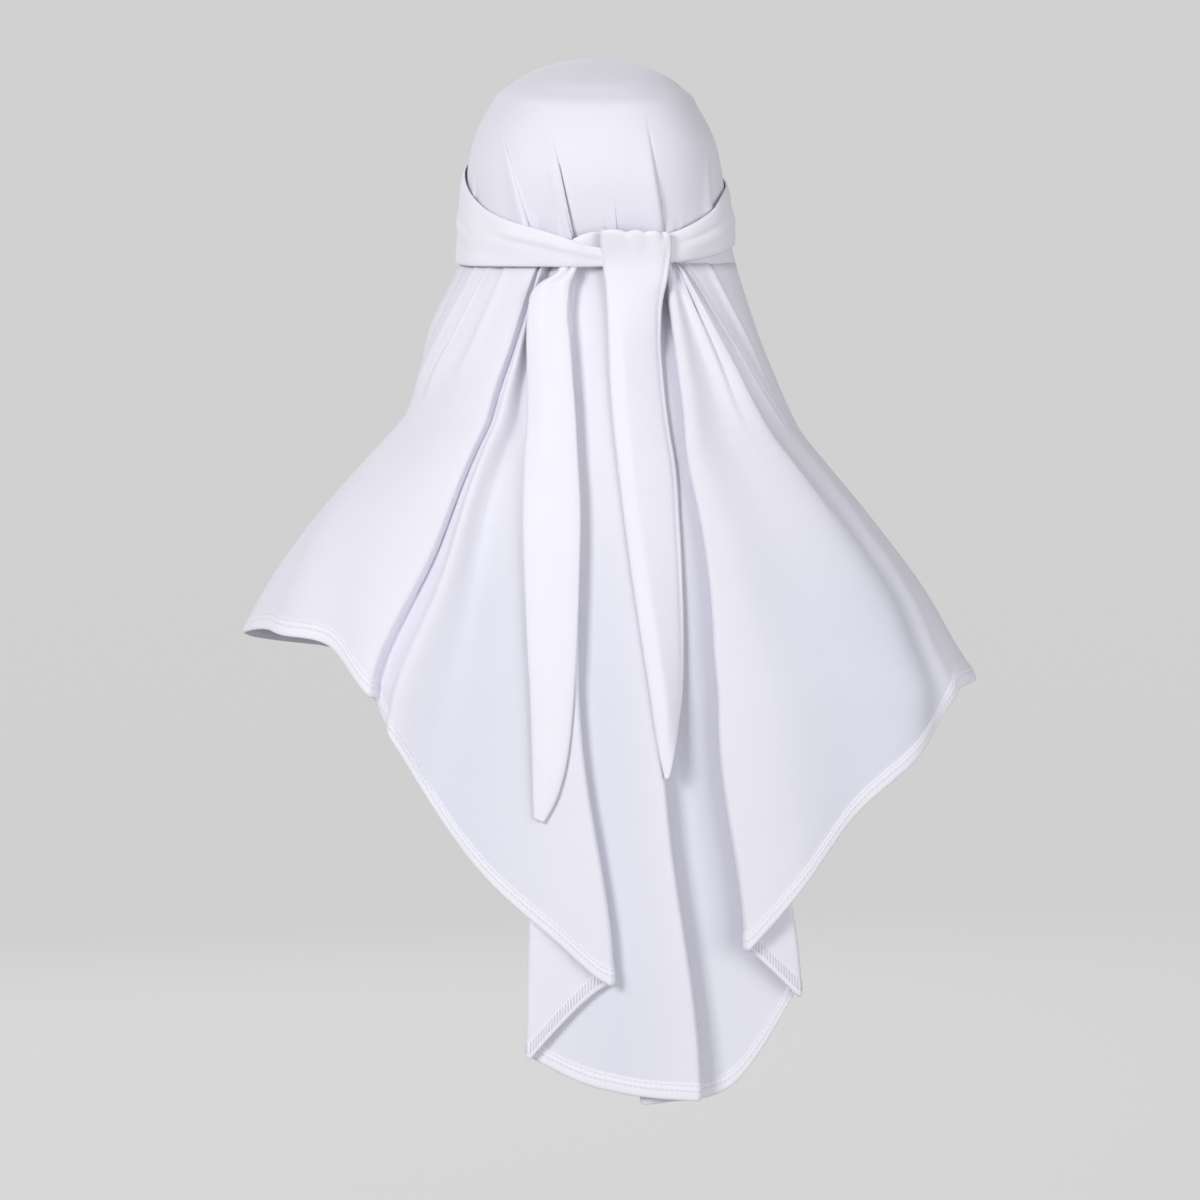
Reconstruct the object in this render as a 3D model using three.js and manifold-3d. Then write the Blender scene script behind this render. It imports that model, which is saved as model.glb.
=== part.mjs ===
import * as THREE from 'three';
import Module from 'manifold-3d';

const wasm = await Module();
wasm.setup();

// Instant hijab: one main cloth (hood and cape) and two ties knotted at the nape.
// Lengths in mm. Origin at the inner crown, +Z up, the face opening towards -Y,
// the wearer's left towards +X.

// Named sizes
const height = 655;          // crown to the lowest hem point
const headHalf = 80;         // half width of the hood over the ears
const headBack = 95;         // back of the hood behind the origin
const wall = 1.4;            // cloth thickness
const hemWall = 2.2;         // turned hem thickness
const hemWidth = 11;         // turned hem width
const foldStep = 4.4;        // depth from one pleat layer to the next at the hem
const napeStep = 3.0;        // the same under the ties
const foldRadius = 2.6;      // half the width of a folded edge at the hem
const napeRadius = 0.9;      // the same under the ties
const faceHalf = 62;         // half width of the face opening
const faceTop = -46;         // forehead edge
const chin = -222;           // lower end of the face opening
const clearance = 0.60;      // gap between the cloth and a tie lying on it
const tieWall = 1.6;         // a tie is a flattened tube, two layers
const hoodRows = 11;         // rows from the crown to the ties' lower edge
const capeRows = 15;         // rows from there to the hem
const windowWidth = 6;       // width and drop over which a tie bridges the cloth below it
const windowDrop = 4;
const roundness = 2.4;       // exponent of the plan outline
const nape = 0.195;          // level of the ties' lower edge, share of the height

// Outline from the crown down. z: share of the height; left, right: half widths as shares of the
// head's; back, front: depths as shares of headBack. Left is the left of a view from behind, +X.
const outline = [
  { z: 0.000, left: 0.00, right: 0.00, back: 0.00, front: 0.00 },
  { z: 0.003, left: 0.29, right: 0.15, back: 0.20, front: 0.25 },
  { z: 0.009, left: 0.49, right: 0.34, back: 0.40, front: 0.45 },
  { z: 0.018, left: 0.66, right: 0.52, back: 0.60, front: 0.63 },
  { z: 0.028, left: 0.77, right: 0.63, back: 0.75, front: 0.74 },
  { z: 0.050, left: 0.91, right: 0.76, back: 0.90, front: 0.87 },
  { z: 0.080, left: 1.02, right: 0.88, back: 0.98, front: 0.96 },
  { z: 0.115, left: 1.07, right: 0.94, back: 1.00, front: 0.97 },
  { z: 0.150, left: 1.08, right: 0.97, back: 0.94, front: 0.93 },
  { z: 0.195, left: 1.12, right: 1.04, back: 0.82, front: 0.88 },
  { z: 0.260, left: 1.36, right: 1.21, back: 0.88, front: 0.86 },
  { z: 0.300, left: 1.45, right: 1.34, back: 0.92, front: 0.84 },
  { z: 0.342, left: 1.56, right: 1.49, back: 0.98, front: 0.90 },
  { z: 0.365, left: 1.72, right: 1.60, back: 1.02, front: 0.96 },
  { z: 0.445, left: 2.30, right: 2.14, back: 1.12, front: 1.14 },
  { z: 0.510, left: 2.68, right: 2.54, back: 1.18, front: 1.22 },
  { z: 0.560, left: 2.88, right: 2.78, back: 1.22, front: 1.26 },
  { z: 0.610, left: 2.96, right: 2.99, back: 1.24, front: 1.28 },
  { z: 1.000, left: 3.00, right: 3.06, back: 1.26, front: 1.30 },
];

const outlineByRoot = outline.map((row) => ({ ...row, root: Math.sqrt(row.z) }));

// Folds from the front centre, by the left of the picture, round the back and on to the front.
// nape, third, two, hem: places round the section, 0 back centre, 1 side, 2 front centre, minus
// on the right; drop: hem level, share of the height; enter, leave: pleat layer on either side of
// the fold line, where a folded edge has two values; turn: side that a folded edge points to.
const folds = [
  { name: 'left chest', nape: 1.20, third: 1.13, two: 1.18, hem: 1.20, drop: 0.580, enter: 0, leave: 0, turn: 0 },
  { name: 'left shoulder', nape: 1.00, third: 1.00, two: 1.00, hem: 1.03, drop: 0.566, enter: 0, leave: 0, turn: 0 },
  { name: 'left blade', nape: 0.93, third: 0.985, two: 0.985, hem: 0.955, drop: 0.546, enter: 0, leave: 0, turn: 0 },
  { name: 'left edge', nape: 0.80, third: 0.94, two: 0.945, hem: 0.87, drop: 0.548, enter: 0.6, leave: 0.6, turn: 0 },
  { name: 'left fall', nape: 0.69, third: 0.83, two: 0.82, hem: 0.735, drop: 0.556, enter: 0.2, leave: 0.2, turn: 0 },
  { name: 'lit ridge', nape: 0.456, third: 0.58, two: 0.562, hem: 0.612, drop: 0.596, enter: 0.9, leave: 0.9, turn: 0 },
  { name: 'cleft', nape: 0.430, third: 0.553, two: 0.528, hem: 0.585, drop: 0.612, enter: -0.5, leave: -0.5, turn: 0 },
  { name: 'strip', nape: 0.400, third: 0.49, two: 0.457, hem: 0.530, drop: 0.645, enter: 1.4, leave: 1.4, turn: 0 },
  { name: 'broad panel', nape: 0.365, third: 0.42, two: 0.375, hem: 0.440, drop: 0.706, enter: -0.3, leave: -0.3, turn: 0 },
  { name: 'dip', nape: 0.330, third: 0.31, two: 0.28, hem: 0.30, drop: 0.770, enter: 0.7, leave: 0.7, turn: 0 },
  { name: 'rise', nape: 0.290, third: 0.20, two: 0.14, hem: 0.12, drop: 0.828, enter: 1.5, leave: 1.5, turn: 0 },
  { name: 'left panel edge', nape: 0.240, third: 0.095, two: 0.055, hem: -0.025, drop: 0.869, enter: 2.0, leave: 1.0, turn: -1 },
  { name: 'first inner edge', nape: 0.20, third: 0.15, two: 0.175, hem: 0.195, drop: 0.941, enter: 1.0, leave: 0, turn: 1 },
  { name: 'middle layer', nape: 0.10, third: 0.03, two: 0.00, hem: -0.04, drop: 0.974, enter: 0.3, leave: 0.3, turn: 0 },
  { name: 'middle edge', nape: -0.02, third: -0.11, two: -0.165, hem: -0.245, drop: 0.982, enter: 0.6, leave: -1.0, turn: -1 },
  { name: 'second inner edge', nape: -0.08, third: -0.06, two: -0.06, hem: -0.10, drop: 0.988, enter: -1.0, leave: -2.2, turn: 1 },
  { name: 'deep layer', nape: -0.22, third: -0.26, two: -0.24, hem: -0.33, drop: 0.974, enter: -2.2, leave: -2.2, turn: 0 },
  { name: 'right inner edge', nape: -0.47, third: -0.46, two: -0.42, hem: -0.505, drop: 0.886, enter: -1.9, leave: -0.3, turn: -1 },
  { name: 'right panel edge', nape: -0.445, third: -0.37, two: -0.295, hem: -0.355, drop: 0.838, enter: 0.2, leave: 1.3, turn: 1 },
  { name: 'soft ridge', nape: -0.475, third: -0.44, two: -0.42, hem: -0.485, drop: 0.786, enter: 1.4, leave: 1.4, turn: 0 },
  { name: 'right hollow', nape: -0.505, third: -0.60, two: -0.60, hem: -0.635, drop: 0.716, enter: 0.4, leave: 0.4, turn: 0 },
  { name: 'slanting ridge', nape: -0.53, third: -0.78, two: -0.82, hem: -0.785, drop: 0.666, enter: 1.0, leave: 1.0, turn: 0 },
  { name: 'slanting hollow', nape: -0.57, third: -0.85, two: -0.90, hem: -0.865, drop: 0.636, enter: 0, leave: 0, turn: 0 },
  { name: 'right edge', nape: -0.62, third: -0.92, two: -0.945, hem: -0.915, drop: 0.612, enter: 0.4, leave: 0.4, turn: 0 },
  { name: 'right fall', nape: -0.80, third: -0.96, two: -0.98, hem: -0.962, drop: 0.600, enter: 0, leave: 0, turn: 0 },
  { name: 'right shoulder', nape: -1.00, third: -1.00, two: -1.00, hem: -1.03, drop: 0.602, enter: 0, leave: 0, turn: 0 },
  { name: 'right chest', nape: -1.20, third: -1.13, two: -1.18, hem: -1.20, drop: 0.600, enter: 0, leave: 0, turn: 0 },
];
const frontDrop = 0.665;     // hem level at the front centre, share of the height
const frontWave = 3;         // height of the soft folds in front
const frontColumns = 5;      // columns from the face edge to the chest fold
const between = 2;           // columns from one soft fold to the next

// Folds drawn up by the ties over the back of the hood. foot, head: distance across the back at
// the ties and where the fold fades, as shares of the head's half width; level: where it fades,
// share of the height; depth: height in walls; soft, steep: widths of its two sides in mm.
const gathers = [
  { name: 'long fold', foot: 0.500, head: 0.800, level: 0.066, depth: 2.0, soft: 8, steep: 3 },
  { name: 'middle fold', foot: 0.200, head: 0.430, level: 0.056, depth: 2.0, soft: 9, steep: 3 },
  { name: 'right fold', foot: -0.475, head: -0.320, level: 0.052, depth: 2.0, soft: 10, steep: 3 },
  { name: 'side fold', foot: -0.830, head: -0.810, level: 0.078, depth: 1.4, soft: 6, steep: 3 },
];

// Ties, each a band from beside the face to the nape and a tail hanging over the back.
// place: round the section as in the folds; top, bottom: shares of the height; layer: number of
// tie thicknesses below it, counted from the cloth.
const leftBand = [
  { place: 1.20, top: 0.098, bottom: 0.192, layer: 0 },
  { place: 1.06, top: 0.098, bottom: 0.194, layer: 0 },
  { place: 1.00, top: 0.103, bottom: 0.195, layer: 0 },
  { place: 0.93, top: 0.128, bottom: 0.197, layer: 0 },
  { place: 0.82, top: 0.143, bottom: 0.198, layer: 0 },
  { place: 0.62, top: 0.155, bottom: 0.198, layer: 0 },
  { place: 0.42, top: 0.163, bottom: 0.198, layer: 0.6 },
  { place: 0.26, top: 0.170, bottom: 0.198, layer: 1.6 },
  { place: 0.10, top: 0.178, bottom: 0.198, layer: 1.7 },
  { place: -0.10, top: 0.180, bottom: 0.197, layer: 1.7 },
  { place: -0.24, top: 0.178, bottom: 0.195, layer: 2.0 },
  { place: -0.36, top: 0.172, bottom: 0.192, layer: 2.6 },
];
const rightBand = [
  { place: -1.20, top: 0.104, bottom: 0.180, layer: 0 },
  { place: -1.06, top: 0.108, bottom: 0.178, layer: 0 },
  { place: -1.00, top: 0.118, bottom: 0.178, layer: 0 },
  { place: -0.94, top: 0.130, bottom: 0.182, layer: 0 },
  { place: -0.84, top: 0.144, bottom: 0.186, layer: 0 },
  { place: -0.68, top: 0.157, bottom: 0.191, layer: 0 },
  { place: -0.50, top: 0.166, bottom: 0.194, layer: 0 },
  { place: -0.30, top: 0.168, bottom: 0.195, layer: 0 },
  { place: -0.10, top: 0.166, bottom: 0.194, layer: 0 },
  { place: 0.06, top: 0.165, bottom: 0.195, layer: 0 },
];
// Tails: edges across as shares of the head's half width, with the level of each
const leftTail = [
  { outer: 0.22, outerZ: 0.172, inner: 0.10, innerZ: 0.192, layer: 0 },
  { outer: 0.30, outerZ: 0.186, inner: 0.18, innerZ: 0.196, layer: 0 },
  { outer: 0.32, outerZ: 0.200, inner: 0.20, innerZ: 0.202, layer: 0.3 },
  { outer: 0.37, outerZ: 0.207, inner: 0.22, innerZ: 0.208, layer: 0.6 },
  { outer: 0.46, outerZ: 0.214, inner: 0.24, innerZ: 0.214, layer: 0.6 },
  { outer: 0.52, outerZ: 0.224, inner: 0.25, innerZ: 0.224, layer: 0.5 },
  { outer: 0.545, outerZ: 0.242, inner: 0.26, innerZ: 0.242, layer: 0.3 },
  { outer: 0.56, outerZ: 0.272, inner: 0.24, innerZ: 0.272, layer: 0.1 },
  { outer: 0.56, outerZ: 0.340, inner: 0.20, innerZ: 0.340, layer: 0 },
  { outer: 0.60, outerZ: 0.414, inner: 0.17, innerZ: 0.414, layer: 0 },
  { outer: 0.59, outerZ: 0.496, inner: 0.18, innerZ: 0.496, layer: 0 },
  { outer: 0.56, outerZ: 0.580, inner: 0.21, innerZ: 0.580, layer: 0 },
  { outer: 0.54, outerZ: 0.647, inner: 0.26, innerZ: 0.647, layer: 0 },
  { outer: 0.53, outerZ: 0.690, inner: 0.34, innerZ: 0.689, layer: 0 },
  { outer: 0.52, outerZ: 0.712, inner: 0.45, innerZ: 0.716, layer: 0 },
];
const rightTail = [
  { outer: -0.44, outerZ: 0.172, inner: -0.02, innerZ: 0.174, layer: 1.2 },
  { outer: -0.46, outerZ: 0.166, inner: 0.01, innerZ: 0.165, layer: 1.9 },
  { outer: -0.47, outerZ: 0.170, inner: 0.02, innerZ: 0.166, layer: 2.9 },
  { outer: -0.47, outerZ: 0.180, inner: 0.02, innerZ: 0.178, layer: 3.2 },
  { outer: -0.46, outerZ: 0.200, inner: 0.00, innerZ: 0.200, layer: 2.9 },
  { outer: -0.42, outerZ: 0.238, inner: -0.03, innerZ: 0.238, layer: 1.0 },
  { outer: -0.47, outerZ: 0.305, inner: -0.05, innerZ: 0.305, layer: 0.2 },
  { outer: -0.56, outerZ: 0.373, inner: -0.10, innerZ: 0.373, layer: 0 },
  { outer: -0.60, outerZ: 0.434, inner: -0.16, innerZ: 0.434, layer: 0 },
  { outer: -0.62, outerZ: 0.496, inner: -0.23, innerZ: 0.496, layer: 0 },
  { outer: -0.625, outerZ: 0.560, inner: -0.31, innerZ: 0.560, layer: 0 },
  { outer: -0.60, outerZ: 0.610, inner: -0.375, innerZ: 0.612, layer: 0 },
  { outer: -0.54, outerZ: 0.655, inner: -0.435, innerZ: 0.655, layer: 0 },
  { outer: -0.50, outerZ: 0.675, inner: -0.475, innerZ: 0.676, layer: 0 },
];
const acrossTie = 5;         // faces across a tie
const betweenStations = 3;   // faces along a tie from one table row to the next

function mix(a, b, t) {
  return a + (b - a) * t;
}

function smooth(t) {
  const k = Math.min(1, Math.max(0, t));
  return k * k * (3 - 2 * k);
}

// Smooth value of a table column at a place of its key column
function lookup(rows, key, column, at) {
  let i = 0;
  while (i < rows.length - 2 && at > rows[i + 1][key]) i += 1;
  const before = rows[Math.max(0, i - 1)];
  const a = rows[i];
  const b = rows[i + 1];
  const after = rows[Math.min(rows.length - 1, i + 2)];
  const span = b[key] - a[key];
  const t = Math.min(1, Math.max(0, (at - a[key]) / span));
  const slopeA = before === a ? (b[column] - a[column]) / span
    : (b[column] - before[column]) / (b[key] - before[key]);
  const slopeB = after === b ? 0 : (after[column] - a[column]) / (after[key] - a[key]);
  const t2 = t * t;
  const t3 = t2 * t;
  return (2 * t3 - 3 * t2 + 1) * a[column] + (t3 - 2 * t2 + t) * span * slopeA
    + (3 * t2 - 2 * t3) * b[column] + (t3 - t2) * span * slopeB;
}

// Half width and depths of the outline at a level, read by its square root for a round crown
function sectionAt(z) {
  const root = Math.sqrt(Math.min(1, Math.max(0, -z / height)));
  return {
    left: lookup(outlineByRoot, 'root', 'left', root) * headHalf,
    right: lookup(outlineByRoot, 'root', 'right', root) * headHalf,
    back: lookup(outlineByRoot, 'root', 'back', root) * headBack,
    front: lookup(outlineByRoot, 'root', 'front', root) * headBack,
  };
}

// Point of the outline at a place round the section, lifted outwards; angle 0 at the front
// centre, a quarter turn at the left of the picture, a half turn at the back centre.
function outlinePoint(angle, z, lift) {
  const section = sectionAt(z);
  const sx = Math.sin(angle);
  const cy = -Math.cos(angle);
  const halfWidth = sx >= 0 ? section.left : section.right;
  const depth = cy >= 0 ? section.back : section.front;
  const x = Math.sign(sx) * Math.abs(sx) ** (2 / roundness) * halfWidth;
  const y = Math.sign(cy) * Math.abs(cy) ** (2 / roundness) * depth;
  const out = new THREE.Vector2(
    Math.sign(sx) * Math.abs(sx) ** (2 - 2 / roundness) / Math.max(halfWidth, 1),
    Math.sign(cy) * Math.abs(cy) ** (2 - 2 / roundness) / Math.max(depth, 1),
  ).normalize();
  return new THREE.Vector3(x + out.x * lift, y + out.y * lift, z);
}

// Angle of a place round the section: its share of the half width, past 1 on the front side
function placeAngle(place) {
  const side = Math.sign(place) || 1;
  const share = Math.abs(place) <= 1 ? Math.abs(place) : 2 - Math.abs(place);
  const quarter = Math.asin(Math.min(1, share) ** (roundness / 2));
  const fromBack = Math.abs(place) <= 1 ? quarter : Math.PI - quarter;
  return Math.PI - side * fromBack;
}

// Edge of the face opening, then the closed front below the chin; row counts from the crown
function faceEdge(row) {
  const first = 4;
  const last = hoodRows + 6;
  const t = Math.min(1, Math.max(0, (row - first) / (last - first)));
  const z = mix(faceTop, chin, (1 - Math.cos(Math.PI * t)) / 2);
  const x = faceHalf * Math.sin(Math.PI * t) ** 0.9;
  return { first, last, x, z };
}

// Guide lines: one for each soft fold and three for each folded edge
function guideLines() {
  const lines = [];
  folds.forEach((fold) => {
    const base = { rows: [fold.nape, fold.third, fold.two, fold.hem], drop: fold.drop };
    if (fold.turn === 0) {
      lines.push({ ...base, layer: fold.enter, shift: 0, sharp: false });
    } else {
      const middle = (fold.enter + fold.leave) / 2;
      lines.push({ ...base, layer: fold.enter, shift: -fold.turn, sharp: true });
      lines.push({ ...base, layer: middle, shift: 0, sharp: true });
      lines.push({ ...base, layer: fold.leave, shift: -fold.turn, sharp: true });
    }
  });
  return lines;
}

// Value at a share of the way down a fold, from its four table places
function along(values, t) {
  const rows = values.map((value, i) => ({ at: i / 3, value }));
  return lookup(rows, 'at', 'value', t);
}

// Columns of the main cloth, each with its place on the guide lines
function clothColumns() {
  const lines = guideLines();
  const columns = [];
  for (let i = 0; i < frontColumns; i += 1) {
    columns.push({ front: i / frontColumns, line: lines[0], next: lines[0], t: 0, edge: 1 });
  }
  lines.forEach((line, i) => {
    const next = lines[Math.min(lines.length - 1, i + 1)];
    const steps = line === next ? 1 : (line.sharp && next.sharp && line.drop === next.drop) ? 1 : between;
    for (let k = 0; k < steps; k += 1) {
      columns.push({ front: 1, line, next, before: lines[Math.max(0, i - 1)],
        after: lines[Math.min(lines.length - 1, i + 2)], t: k / steps, edge: 0 });
    }
  });
  for (let i = frontColumns - 1; i >= 0; i -= 1) {
    const last = lines[lines.length - 1];
    columns.push({ front: i / frontColumns, line: last, next: last, t: 0, edge: -1 });
  }
  return columns;
}

// A guide line's angle, level and lift at a share of the way from the ties to the hem
function onLine(line, v) {
  const z = mix(-nape * height, -line.drop * height, v);
  const section = sectionAt(z);
  const place = along(line.rows, v);
  const halfWidth = place >= 0 ? section.left : section.right;
  const radius = mix(napeRadius, foldRadius, v);
  const moved = place + line.shift * radius / halfWidth;
  const lift = line.layer * mix(napeStep, foldStep, v);
  return { angle: placeAngle(moved), z, lift };
}

// Soft curve through four values
function curve(a, b, c, d, t) {
  return 0.5 * (2 * b + (c - a) * t + (2 * a - 5 * b + 4 * c - d) * t * t
    + (3 * b - a - 3 * c + d) * t * t * t);
}

// Point of the cape on a column at a share of the way from the ties to the hem
function capePoint(column, v) {
  if (column.front < 1) return frontPoint(column, v);
  const own = onLine(column.line, v);
  const next = onLine(column.next, v);
  const before = onLine(column.before, v);
  const after = onLine(column.after, v);
  const z = curve(before.z, own.z, next.z, after.z, column.t);
  const lift = curve(before.lift, own.lift, next.lift, after.lift, column.t);
  const angle = curve(before.angle, own.angle, next.angle, after.angle, column.t);
  return { angle, z, lift };
}

// Point of the cloth between the face edge and the chest fold
function frontPoint(column, v) {
  const edge = faceEdge(hoodRows + v * capeRows);
  const closed = edge.last <= hoodRows + v * capeRows;
  const share = (v * capeRows - (edge.last - hoodRows)) / (capeRows - (edge.last - hoodRows));
  const edgeZ = closed ? mix(chin, -frontDrop * height, share) : edge.z;
  const side = column.edge;
  const section = sectionAt(edgeZ);
  const halfWidth = side > 0 ? section.left : section.right;
  const place = 2 - (closed ? 0 : edge.x) / halfWidth;
  const edgeAngle = placeAngle(side * place);
  const own = onLine(column.line, v);
  const t = column.front;
  const wave = Math.sin(t * Math.PI * 3) * frontWave * smooth(v);
  return { angle: mix(edgeAngle + (side < 0 && edgeAngle < 1 ? 2 * Math.PI : 0), own.angle, t),
    z: mix(edgeZ, own.z, smooth(t) * 0.5 + t * 0.5), lift: wave };
}

// Point of the hood on a column; row counts from the crown
function hoodPoint(column, share, row) {
  const foot = capePoint(column, 0);
  const down = row / hoodRows;
  const edge = faceEdge(row);
  const open = row > edge.first;
  const edgeZ = open ? edge.z : faceTop * (row / edge.first) ** 1.5;
  const section = sectionAt(edgeZ);
  const side = share <= 0.5 ? 1 : -1;
  const halfWidth = side > 0 ? section.left : section.right;
  const edgeShare = open ? 2 - edge.x / halfWidth : 2;
  const edgeTurn = placeAngle(edgeShare);
  const evenAngle = mix(edgeTurn, 2 * Math.PI - edgeTurn, share);
  const edgeAngle = side > 0 ? edgeTurn : 2 * Math.PI - edgeTurn;
  const footAngle = column.front < 1
    ? mix(edgeAngle, onLine(column.line, 0).angle, column.front) : foot.angle;
  const angle = mix(evenAngle, footAngle, smooth(down) ** 1.4);
  const back = (1 - Math.cos(2 * Math.PI * share)) / 2;
  const backZ = -nape * height * down ** 1.6;
  const level = mix(mix(edgeZ, backZ, back ** 0.6), foot.z, down ** 4);
  const z = column.front === 0 ? edgeZ : level;
  return { angle, z, lift: foot.lift * smooth((row - hoodRows + 3) / 3) };
}

// Height of the drawn-up folds over the back of the hood
function gatherLift(point) {
  if (point.y <= 0) return 0;
  const bottom = -nape * height;
  let lift = 0;
  gathers.forEach((fold) => {
    const top = -fold.level * height;
    const t = (top - point.z) / (top - bottom);
    const centre = mix(fold.head, fold.foot, Math.min(1.2, Math.max(0, t))) * headHalf;
    const across = point.x - centre;
    const width = across > 0 ? fold.soft : fold.steep;
    const fade = smooth(t * 1.3) * (1 - smooth((t - 1) / 0.3));
    lift += fold.depth * wall * fade * Math.exp(-((across / width) ** 2));
  });
  return lift;
}

// Middle surface of the main cloth as rows of points
function clothRows() {
  const columns = clothColumns();
  const count = columns.length;
  const rows = [];
  for (let row = 1; row <= hoodRows + capeRows; row += 1) {
    rows.push(columns.map((column, i) => {
      const share = i / (count - 1);
      const place = row < hoodRows ? hoodPoint(column, share, row)
        : capePoint(column, (row - hoodRows) / capeRows);
      const flat = outlinePoint(place.angle, place.z, place.lift);
      return outlinePoint(place.angle, place.z, place.lift + gatherLift(flat));
    }));
  }
  // One more row marks the upper line of the turned hem
  const hem = rows[rows.length - 1];
  const above = rows[rows.length - 2];
  const line = hem.map((point, i) => point.clone().lerp(above[i],
    Math.min(0.7, hemWidth / point.distanceTo(above[i]))));
  rows.splice(rows.length - 1, 0, line);
  return rows;
}

// Closed shell of a sheet given as rows of points; thickness by row and column
function shell(rows, thickness, cap, closeRow) {
  const vertices = [];
  const triangles = [];
  const across = rows[0].length;
  const middle = new THREE.BufferGeometry();
  const flat = [];
  const index = [];
  rows.forEach((row) => row.forEach((point) => flat.push(point.x, point.y, point.z)));
  if (cap) flat.push(cap.x, cap.y, cap.z);
  const at = (r, c) => r * across + c;
  const capIndex = rows.length * across;
  for (let r = 0; r < rows.length - 1; r += 1) {
    for (let c = 0; c < across - 1; c += 1) {
      index.push(at(r, c), at(r + 1, c), at(r, c + 1), at(r, c + 1), at(r + 1, c), at(r + 1, c + 1));
    }
  }
  if (cap) for (let c = 0; c < across - 1; c += 1) index.push(capIndex, at(0, c), at(0, c + 1));
  middle.setAttribute('position', new THREE.Float32BufferAttribute(flat, 3));
  middle.setIndex(index);
  middle.computeVertexNormals();
  const normal = middle.getAttribute('normal');
  const normals = [];
  for (let i = 0; i < normal.count; i += 1) {
    normals.push(new THREE.Vector3().fromBufferAttribute(normal, i));
  }
  // The first and last column lie on each other where the sheet is closed
  rows.forEach((row, r) => {
    if (!closeRow || !closeRow(r)) return;
    const sum = normals[at(r, 0)].clone().add(normals[at(r, across - 1)]).normalize();
    normals[at(r, 0)].copy(sum);
    normals[at(r, across - 1)].copy(sum);
  });
  [1, -1].forEach((side) => {
    normals.forEach((n, i) => {
      const r = Math.floor(i / across);
      const half = side * thickness(Math.min(r, rows.length - 1)) / 2;
      vertices.push(flat[i * 3] + n.x * half, flat[i * 3 + 1] + n.y * half, flat[i * 3 + 2] + n.z * half);
    });
  });
  const back = normals.length;
  for (let i = 0; i < index.length; i += 3) {
    triangles.push([index[i], index[i + 1], index[i + 2]]);
    triangles.push([index[i] + back, index[i + 2] + back, index[i + 1] + back]);
  }
  const wallStrip = (a, b) => {
    triangles.push([b, a, a + back], [b, a + back, b + back]);
  };
  const last = rows.length - 1;
  for (let c = 0; c < across - 1; c += 1) {
    wallStrip(at(last, c), at(last, c + 1));
    if (!cap) wallStrip(at(0, c + 1), at(0, c));
  }
  for (let r = 0; r < last; r += 1) {
    const shut = closeRow && closeRow(r) && closeRow(r + 1);
    if (shut) continue;
    wallStrip(at(r, 0), at(r + 1, 0));
    wallStrip(at(r + 1, across - 1), at(r, across - 1));
  }
  return { vertices, triangles };
}

// Joins equal points and drops triangles that have lost their area
function welded({ vertices, triangles }) {
  const seen = new Map();
  const kept = [];
  const map = [];
  for (let i = 0; i < vertices.length / 3; i += 1) {
    const key = [0, 1, 2].map((k) => Math.round(vertices[i * 3 + k] * 200)).join(',');
    if (!seen.has(key)) {
      seen.set(key, kept.length / 3);
      kept.push(vertices[i * 3], vertices[i * 3 + 1], vertices[i * 3 + 2]);
    }
    map.push(seen.get(key));
  }
  const faces = [];
  triangles.forEach((t) => {
    const [a, b, c] = t.map((i) => map[i]);
    if (a !== b && b !== c && c !== a) faces.push(a, b, c);
  });
  return { points: kept, faces };
}

function solidOf(sheet) {
  const { points, faces } = welded(sheet);
  return new wasm.Manifold(new wasm.Mesh({
    numProp: 3,
    vertProperties: new Float32Array(points),
    triVerts: new Uint32Array(faces),
  }));
}

function geometryOf(sheet) {
  const { points, faces } = welded(sheet);
  const geometry = new THREE.BufferGeometry();
  geometry.setAttribute('position', new THREE.Float32BufferAttribute(points, 3));
  geometry.setIndex(faces);
  geometry.computeVertexNormals();
  return geometry;
}

function geometryOfSolid(solid) {
  const mesh = solid.getMesh();
  const geometry = new THREE.BufferGeometry();
  geometry.setAttribute('position', new THREE.Float32BufferAttribute(Array.from(mesh.vertProperties), 3));
  geometry.setIndex(Array.from(mesh.triVerts));
  geometry.computeVertexNormals();
  return geometry;
}

function named(name, geometry, colour) {
  const material = new THREE.MeshStandardMaterial({ color: colour, roughness: 0.85 });
  const mesh = new THREE.Mesh(geometry, material);
  mesh.name = name;
  return mesh;
}

// Main cloth: hood and cape in one
function mainCloth() {
  const rows = clothRows();
  const closed = (r) => {
    const row = r + 1;
    const edge = faceEdge(row);
    return row <= edge.first || row >= edge.last;
  };
  const thickness = (r) => (r >= rows.length - 2 ? hemWall : wall);
  return shell(rows, thickness, new THREE.Vector3(0, 0, wall / 2), closed);
}

// Greatest lift of the cloth over the outline near a place, found from outside
function clothLift(target, angle, z) {
  const far = 60;
  const caster = new THREE.Raycaster();
  let most = -far;
  const outside = outlinePoint(angle, z, far);
  const inward = outlinePoint(angle, z, 0).sub(outside).normalize();
  const along = new THREE.Vector3(-inward.y, inward.x, 0);
  [-1, -0.5, 0, 0.5, 1].forEach((i) => [-1, 0, 1].forEach((k) => {
    const from = outside.clone().addScaledVector(along, i * windowWidth);
    from.z += k * windowDrop;
    caster.set(from, inward);
    const hits = caster.intersectObject(target);
    if (hits.length > 0) most = Math.max(most, far - hits[0].distance);
  }));
  return most;
}

// Stations with softly curved ones between them
function refined(stations) {
  const keys = ['start', 'end', 'startZ', 'endZ', 'layer'];
  const all = [];
  stations.forEach((station, i) => {
    const before = stations[Math.max(0, i - 1)];
    const next = stations[Math.min(stations.length - 1, i + 1)];
    const after = stations[Math.min(stations.length - 1, i + 2)];
    const steps = next === station ? 1 : betweenStations;
    for (let k = 0; k < steps; k += 1) {
      const made = {};
      keys.forEach((key) => {
        made[key] = curve(before[key], station[key], next[key], after[key], k / steps);
      });
      all.push(made);
    }
  });
  return all;
}

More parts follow.
